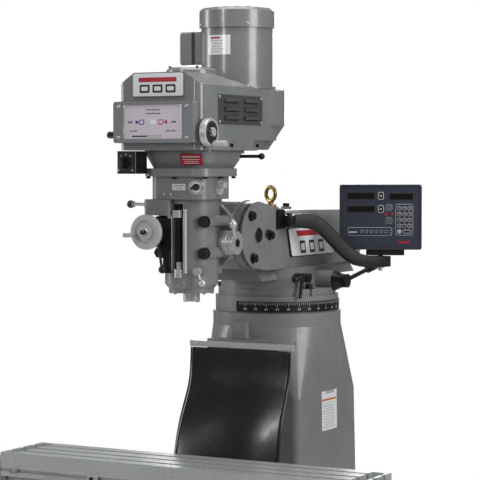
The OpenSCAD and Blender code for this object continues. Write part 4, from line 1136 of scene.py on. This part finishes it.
def buildGearCaseDetails(bm):
    for x, y in gearCase["flange"]:
        addCapScrew(bm, planeAt((x, y, gearCase["flangeZ"]), (0, 0, -1), (0, 1, 0)), 0.0065, 0.0065, 0, 1)
    for x in gearCase["oilers"]:
        addOiler(bm, planeAt((x, -0.6500, 1.531), (0, -1, 0)), 0.0044, 2, 1)
    bx, by, bz = gearCase["boss"]
    for y, z in boltCircle(gearCase["bossCircle"], 4, 45):  # the high and low lever's boss
        addScrew(bm, planeAt((bx, by + y, bz + z), (1, 0, 0)), 0.0026, 0.0016, 2, 1)


def buildHubTrim(bm):
    at = planeAt((quillHub["faceX"], quillHub["y"], quillHub["z"]), (1, 0, 0))
    addLathe(bm, at, [(0.0125, 0), (0.0125, 0.0012), (0.0105, 0.0022), (0.0055, 0.0016)], 32, 0)
    dialAt = planeAt((quillHub["dialX"], quillHub["y"], quillHub["z"]), (1, 0, 0))
    for k in range(quillHub["marks"]):
        big = k % 5 == 0
        out = Matrix.Translation((quillHub["dialR"], 0, 0.0085 if big else 0.0095))
        m = dialAt @ Matrix.Rotation(math.radians(360 / quillHub["marks"] * k), 4, "Z") @ out \
            @ Matrix.Rotation(math.radians(90), 4, "Y")
        addBox(bm, m, 0.0075 if big else 0.0045, 0.0006, 0, 0.0002, 1)


makePiece("head_details", buildHeadDetails, [turned, inkDark, whiteEnamel], "head")
makePiece("gear_case_screws", buildGearCaseDetails, [blackSteel, inkDark, turned], "head")
makePiece("quill_hub_trim", buildHubTrim, [blackSteel, tickWhite], "quill_lever")


def buildRedCap(bm):
    addLathe(bm, planeAt((0.0905, -0.478, 1.4245), (0.5, 0.3, 0.8), (0, 1, 0)),
             [(0.0052, 0), (0.0052, 0.004), (0.004, 0.006), (0.002, 0.0068)], 20, 0)


makePiece("oil_cap", buildRedCap, [inkRed], "head")
print("head details done")


# motor: fan grille on top, cover screws, body seams, terminal box lid

motorTrim = {"top": 2.1031, "grilleRings": 6, "grilleInner": 0.030, "grilleStep": 0.0125,
             "coverR": 0.1176, "coverZ": 2.052, "footR": 0.117, "footZ": 1.8601}


def buildMotorTrim(bm):
    top = planeAt((0, motorY, motorTrim["top"]), (0, 0, 1), (0, 1, 0))
    for ring in range(motorTrim["grilleRings"]):  # slots of the fan grille, drawn as dark tubes: painted shade in place of openings
        r = motorTrim["grilleInner"] + ring * motorTrim["grilleStep"]
        count = 3 + ring
        for k in range(count * 2):
            a0 = 360 / (count * 2) * k + ring * 9
            points = [(math.cos(math.radians(a)) * r, math.sin(math.radians(a)) * r) for a in
                      [a0 + (360 / (count * 2) - 10) * j / 8 for j in range(9)]]
            addTube(bm, [top @ Vector((x, y, 0.0002)) for x, y in points], 0.0024, 6, 1)
    addLathe(bm, top, [(0.016, 0), (0.016, 0.0015), (0.012, 0.0025)], 32, 0)
    for x, y in boltCircle(motorTrim["coverR"], 4, 45):
        addScrew(bm, planeAt((x, motorY + y, motorTrim["coverZ"]), (x, y, 0)), 0.0045, 0.0024, 2, 1)
    for x, y in boltCircle(motorTrim["footR"], 4, 45):
        addCapScrew(bm, planeAt((x, motorY + y, motorTrim["footZ"]), (0, 0, 1), (0, 1, 0)), 0.0048, 0.005, 2, 1)


def buildTerminalLid(bm):
    at = planeAt((-0.1702, -0.279, 1.982), (-1, 0, 0))
    addSlab(bm, at, roundedOutline(0.098, 0.100, 0.010), 0.0030, 0.0012, 0)
    for x in (-1, 1):
        for y in (-1, 1):
            addScrew(bm, at @ Matrix.Translation((x * 0.040, y * 0.041, 0.0030)), 0.0040, 0.0022, 1, 2)
    addSlab(bm, planeAt((-0.124, -0.3304, 1.982), (0, -1, 0)), roundedOutline(0.010, 0.098, 0.002), 0.0016, 0.0005,
            2)


makePiece("motor_trim", buildMotorTrim, [sheetGrey, inkDark, turned], "head")
makePiece("terminal_lid", buildTerminalLid, [sheetGrey, turned, inkDark], "head")
print("motor details done")


# column and base: rear cover with its screws, anchor bolt heads

def coverPlate(bm, at, w, h, screws, thick=0.004, finish=0):
    addSlab(bm, at, roundedOutline(w, h, 0.012), thick, 0.0015, finish)
    for x, y in screws:
        addScrew(bm, at @ Matrix.Translation((x * w, y * h, thick)), 0.0060, 0.0032, 1, 2)


rearCover = {"at": (0, 0.2316, 0.66), "w": 0.230, "h": 0.300}


def buildColumnCovers(bm):
    corners = [(x, y) for x in (-0.44, 0.44) for y in (-0.45, 0, 0.45)]
    coverPlate(bm, planeAt(rearCover["at"], (0, 1, 0.018)), rearCover["w"], rearCover["h"], corners)
    addSlab(bm, planeAt((0, 0.2375, 0.66), (0, 1, 0.018)), roundedOutline(0.080, 0.018, 0.008), 0.006, 0.002, 1)
    for s in (-1, 1):
        for x, y in ((-0.25, 0.15), (-0.25, -0.32)):
            addCapScrew(bm, planeAt((s * 0.268, y, 0.1101), (0, 0, 1), (0, 1, 0)), 0.009, 0.004, 1, 2)


makePiece("column_covers", buildColumnCovers, [sheetGrey, blackSteel, inkDark], "frame")


def dialMarks(bm, at, r, z, count, every, finish):
    # marks round a graduated collar, longer ones at every so many
    for k in range(count):
        big = k % every == 0
        out = Matrix.Translation((r, 0, z - (0.0028 if big else 0.0016)))
        m = at @ Matrix.Rotation(2 * math.pi * k / count, 4, "Z") @ out @ Matrix.Rotation(math.radians(90), 4, "Y")
        addBox(bm, m, 0.0056 if big else 0.0032, 0.0006, 0, 0.0002, finish)


def buildCrossDial(bm):
    at = planeAt((0, -0.807, 0.490), (0, -1, 0))
    dialMarks(bm, at, 0.0301, 0.010, 100, 10, 0)


def buildTableDials(bm):
    for s, x in ((-1, -0.678), (1, 0.621)):
        dialMarks(bm, planeAt((x, -0.520, 0.614), (s, 0, 0)), 0.0311, 0.008, 100, 10, 0)


def buildKneeDial(bm):
    d = Vector((-0.70711, -0.70711, 0))
    dialMarks(bm, planeAt(Vector((0, -0.370, 0.433)) + d * 0.304, d), 0.0301, 0.010, 100, 10, 0)


makePiece("cross_dial_marks", buildCrossDial, [inkDark], "cross_wheel")
makePiece("table_dial_marks", buildTableDials, [inkDark], "table_screw")
makePiece("knee_dial_marks", buildKneeDial, [inkDark], "knee_crank")


tableTrim = {"dogs": (-0.30, 0.22), "rule": 0.90, "ruleStep": 0.005}


def buildTableTrim(bm):
    # stop dogs in the front groove and a plain rule strip under it
    for x in tableTrim["dogs"]:
        at = planeAt((x, -0.6350, 0.6600), (0, -1, 0))
        addSlab(bm, at, roundedOutline(0.034, 0.017, 0.002), 0.012, 0.0015, 0)
        addCapScrew(bm, at @ Matrix.Translation((0, 0, 0.012)), 0.0058, 0.006, 1, 2)
    strip = planeAt((-0.0285, -0.6350, 0.6470), (0, -1, 0))
    addBox(bm, strip, tableTrim["rule"], 0.010, 0, 0.001, 0)
    for k in range(round(tableTrim["rule"] / tableTrim["ruleStep"]) + 1):
        y, tall = (0.0012, 0.004) if k % 10 else (0.0, 0.0072)
        mark = strip @ Matrix.Translation((k * tableTrim["ruleStep"] - tableTrim["rule"] / 2, y, 0.001))
        addBox(bm, mark, 0.0005, tall, 0, 0.0002, 2)


makePiece("table_trim", buildTableTrim, [ground, blackSteel, inkDark], "table")
print("lower details done")


# studio: pale floor, white surround, soft lights and the camera

studio = {"floorRadius": 2.9, "white": 1.0, "surround": 0.18}


def areaLight(name, at, look, size, power, tint=(1, 1, 1)):
    light = bpy.data.lights.new(name, "AREA")
    light.shape, light.size, light.size_y, light.energy, light.color = "RECTANGLE", size[0], size[1], power, tint
    holder = bpy.data.objects.new(name, light)
    bpy.context.scene.collection.objects.link(holder)
    holder.location = at
    holder.rotation_euler = (Vector(look) - Vector(at)).to_track_quat("-Z", "Y").to_euler()
    holder.visible_camera = False


def buildFloor():
    bm = bmesh.new()
    addLathe(bm, Matrix.Translation((0, -0.2, -0.02)),
             [(studio["floorRadius"], 0), (studio["floorRadius"], 0.0199)], 96, 0)
    mesh = bpy.data.meshes.new("studio_floor")
    bm.to_mesh(mesh)
    bm.free()
    floor = bpy.data.objects.new("studio_floor", mesh)
    bpy.context.scene.collection.objects.link(floor)
    m = bpy.data.materials.new("studio floor")
    m.use_nodes = True
    shade = place(m, drift, Scale=1.2, Mottle=0.1)
    m.node_tree.links.new(mixColour(m, shade.outputs[0], linear(236, 236, 236), linear(231, 231, 231)),
                          m.node_tree.nodes["Principled BSDF"].inputs["Base Color"])
    m.node_tree.nodes["Principled BSDF"].inputs["Roughness"].default_value = 0.6
    mesh.materials.append(m)


buildFloor()
world = bpy.data.worlds.new("studio surround")
bpy.context.scene.world = world
world.use_nodes = True
wt = world.node_tree
seen = wt.nodes.new("ShaderNodeLightPath")
glow = wt.nodes["Background"]
white = wt.nodes.new("ShaderNodeBackground")
white.inputs["Color"].default_value = (1, 1, 1, 1)
white.inputs["Strength"].default_value = studio["white"]
glow.inputs["Color"].default_value = (0.93, 0.96, 1.0, 1)
glow.inputs["Strength"].default_value = studio["surround"]
either = wt.nodes.new("ShaderNodeMixShader")
wt.links.new(seen.outputs["Is Camera Ray"], either.inputs[0])
wt.links.new(glow.outputs[0], either.inputs[1])
wt.links.new(white.outputs[0], either.inputs[2])
wt.links.new(either.outputs[0], wt.nodes["World Output"].inputs["Surface"])
areaLight("left strip", (-3.6, -1.3, 2.2), (0, -0.4, 1.4), (0.8, 2.4), 46)
areaLight("front strip", (-1.05, -4.7, 2.8), (0, -0.4, 1.7), (0.24, 2.0), 42)
areaLight("right soft box", (3.6, -0.9, 2.6), (0, -0.3, 1.4), (1.6, 2.4), 88)
areaLight("top soft box", (0.2, -0.8, 4.2), (0, -0.3, 1.2), (2.4, 2.4), 66)
areaLight("back edge light", (-1.4, 2.8, 2.6), (0, 0, 1.5), (1.2, 2.0), 44)
bpy.context.scene.view_settings.view_transform = "Standard"

view = {"at": (2.833, -5.404, 1.627), "heading": 28.8, "dip": 2.39, "lens": 140.25}
lens = bpy.data.cameras.new("main view")
lens.sensor_width, lens.lens, lens.clip_end = 36.0, view["lens"], 40.0
camera = bpy.data.objects.new("main view", lens)
bpy.context.scene.collection.objects.link(camera)
camera.location = view["at"]
h, d = math.radians(view["heading"]), math.radians(view["dip"])
aim = Vector((-math.sin(h) * math.cos(d), math.cos(h) * math.cos(d), -math.sin(d)))
camera.rotation_euler = aim.to_track_quat("-Z", "Y").to_euler()
bpy.context.scene.camera = camera
print("studio and camera done")
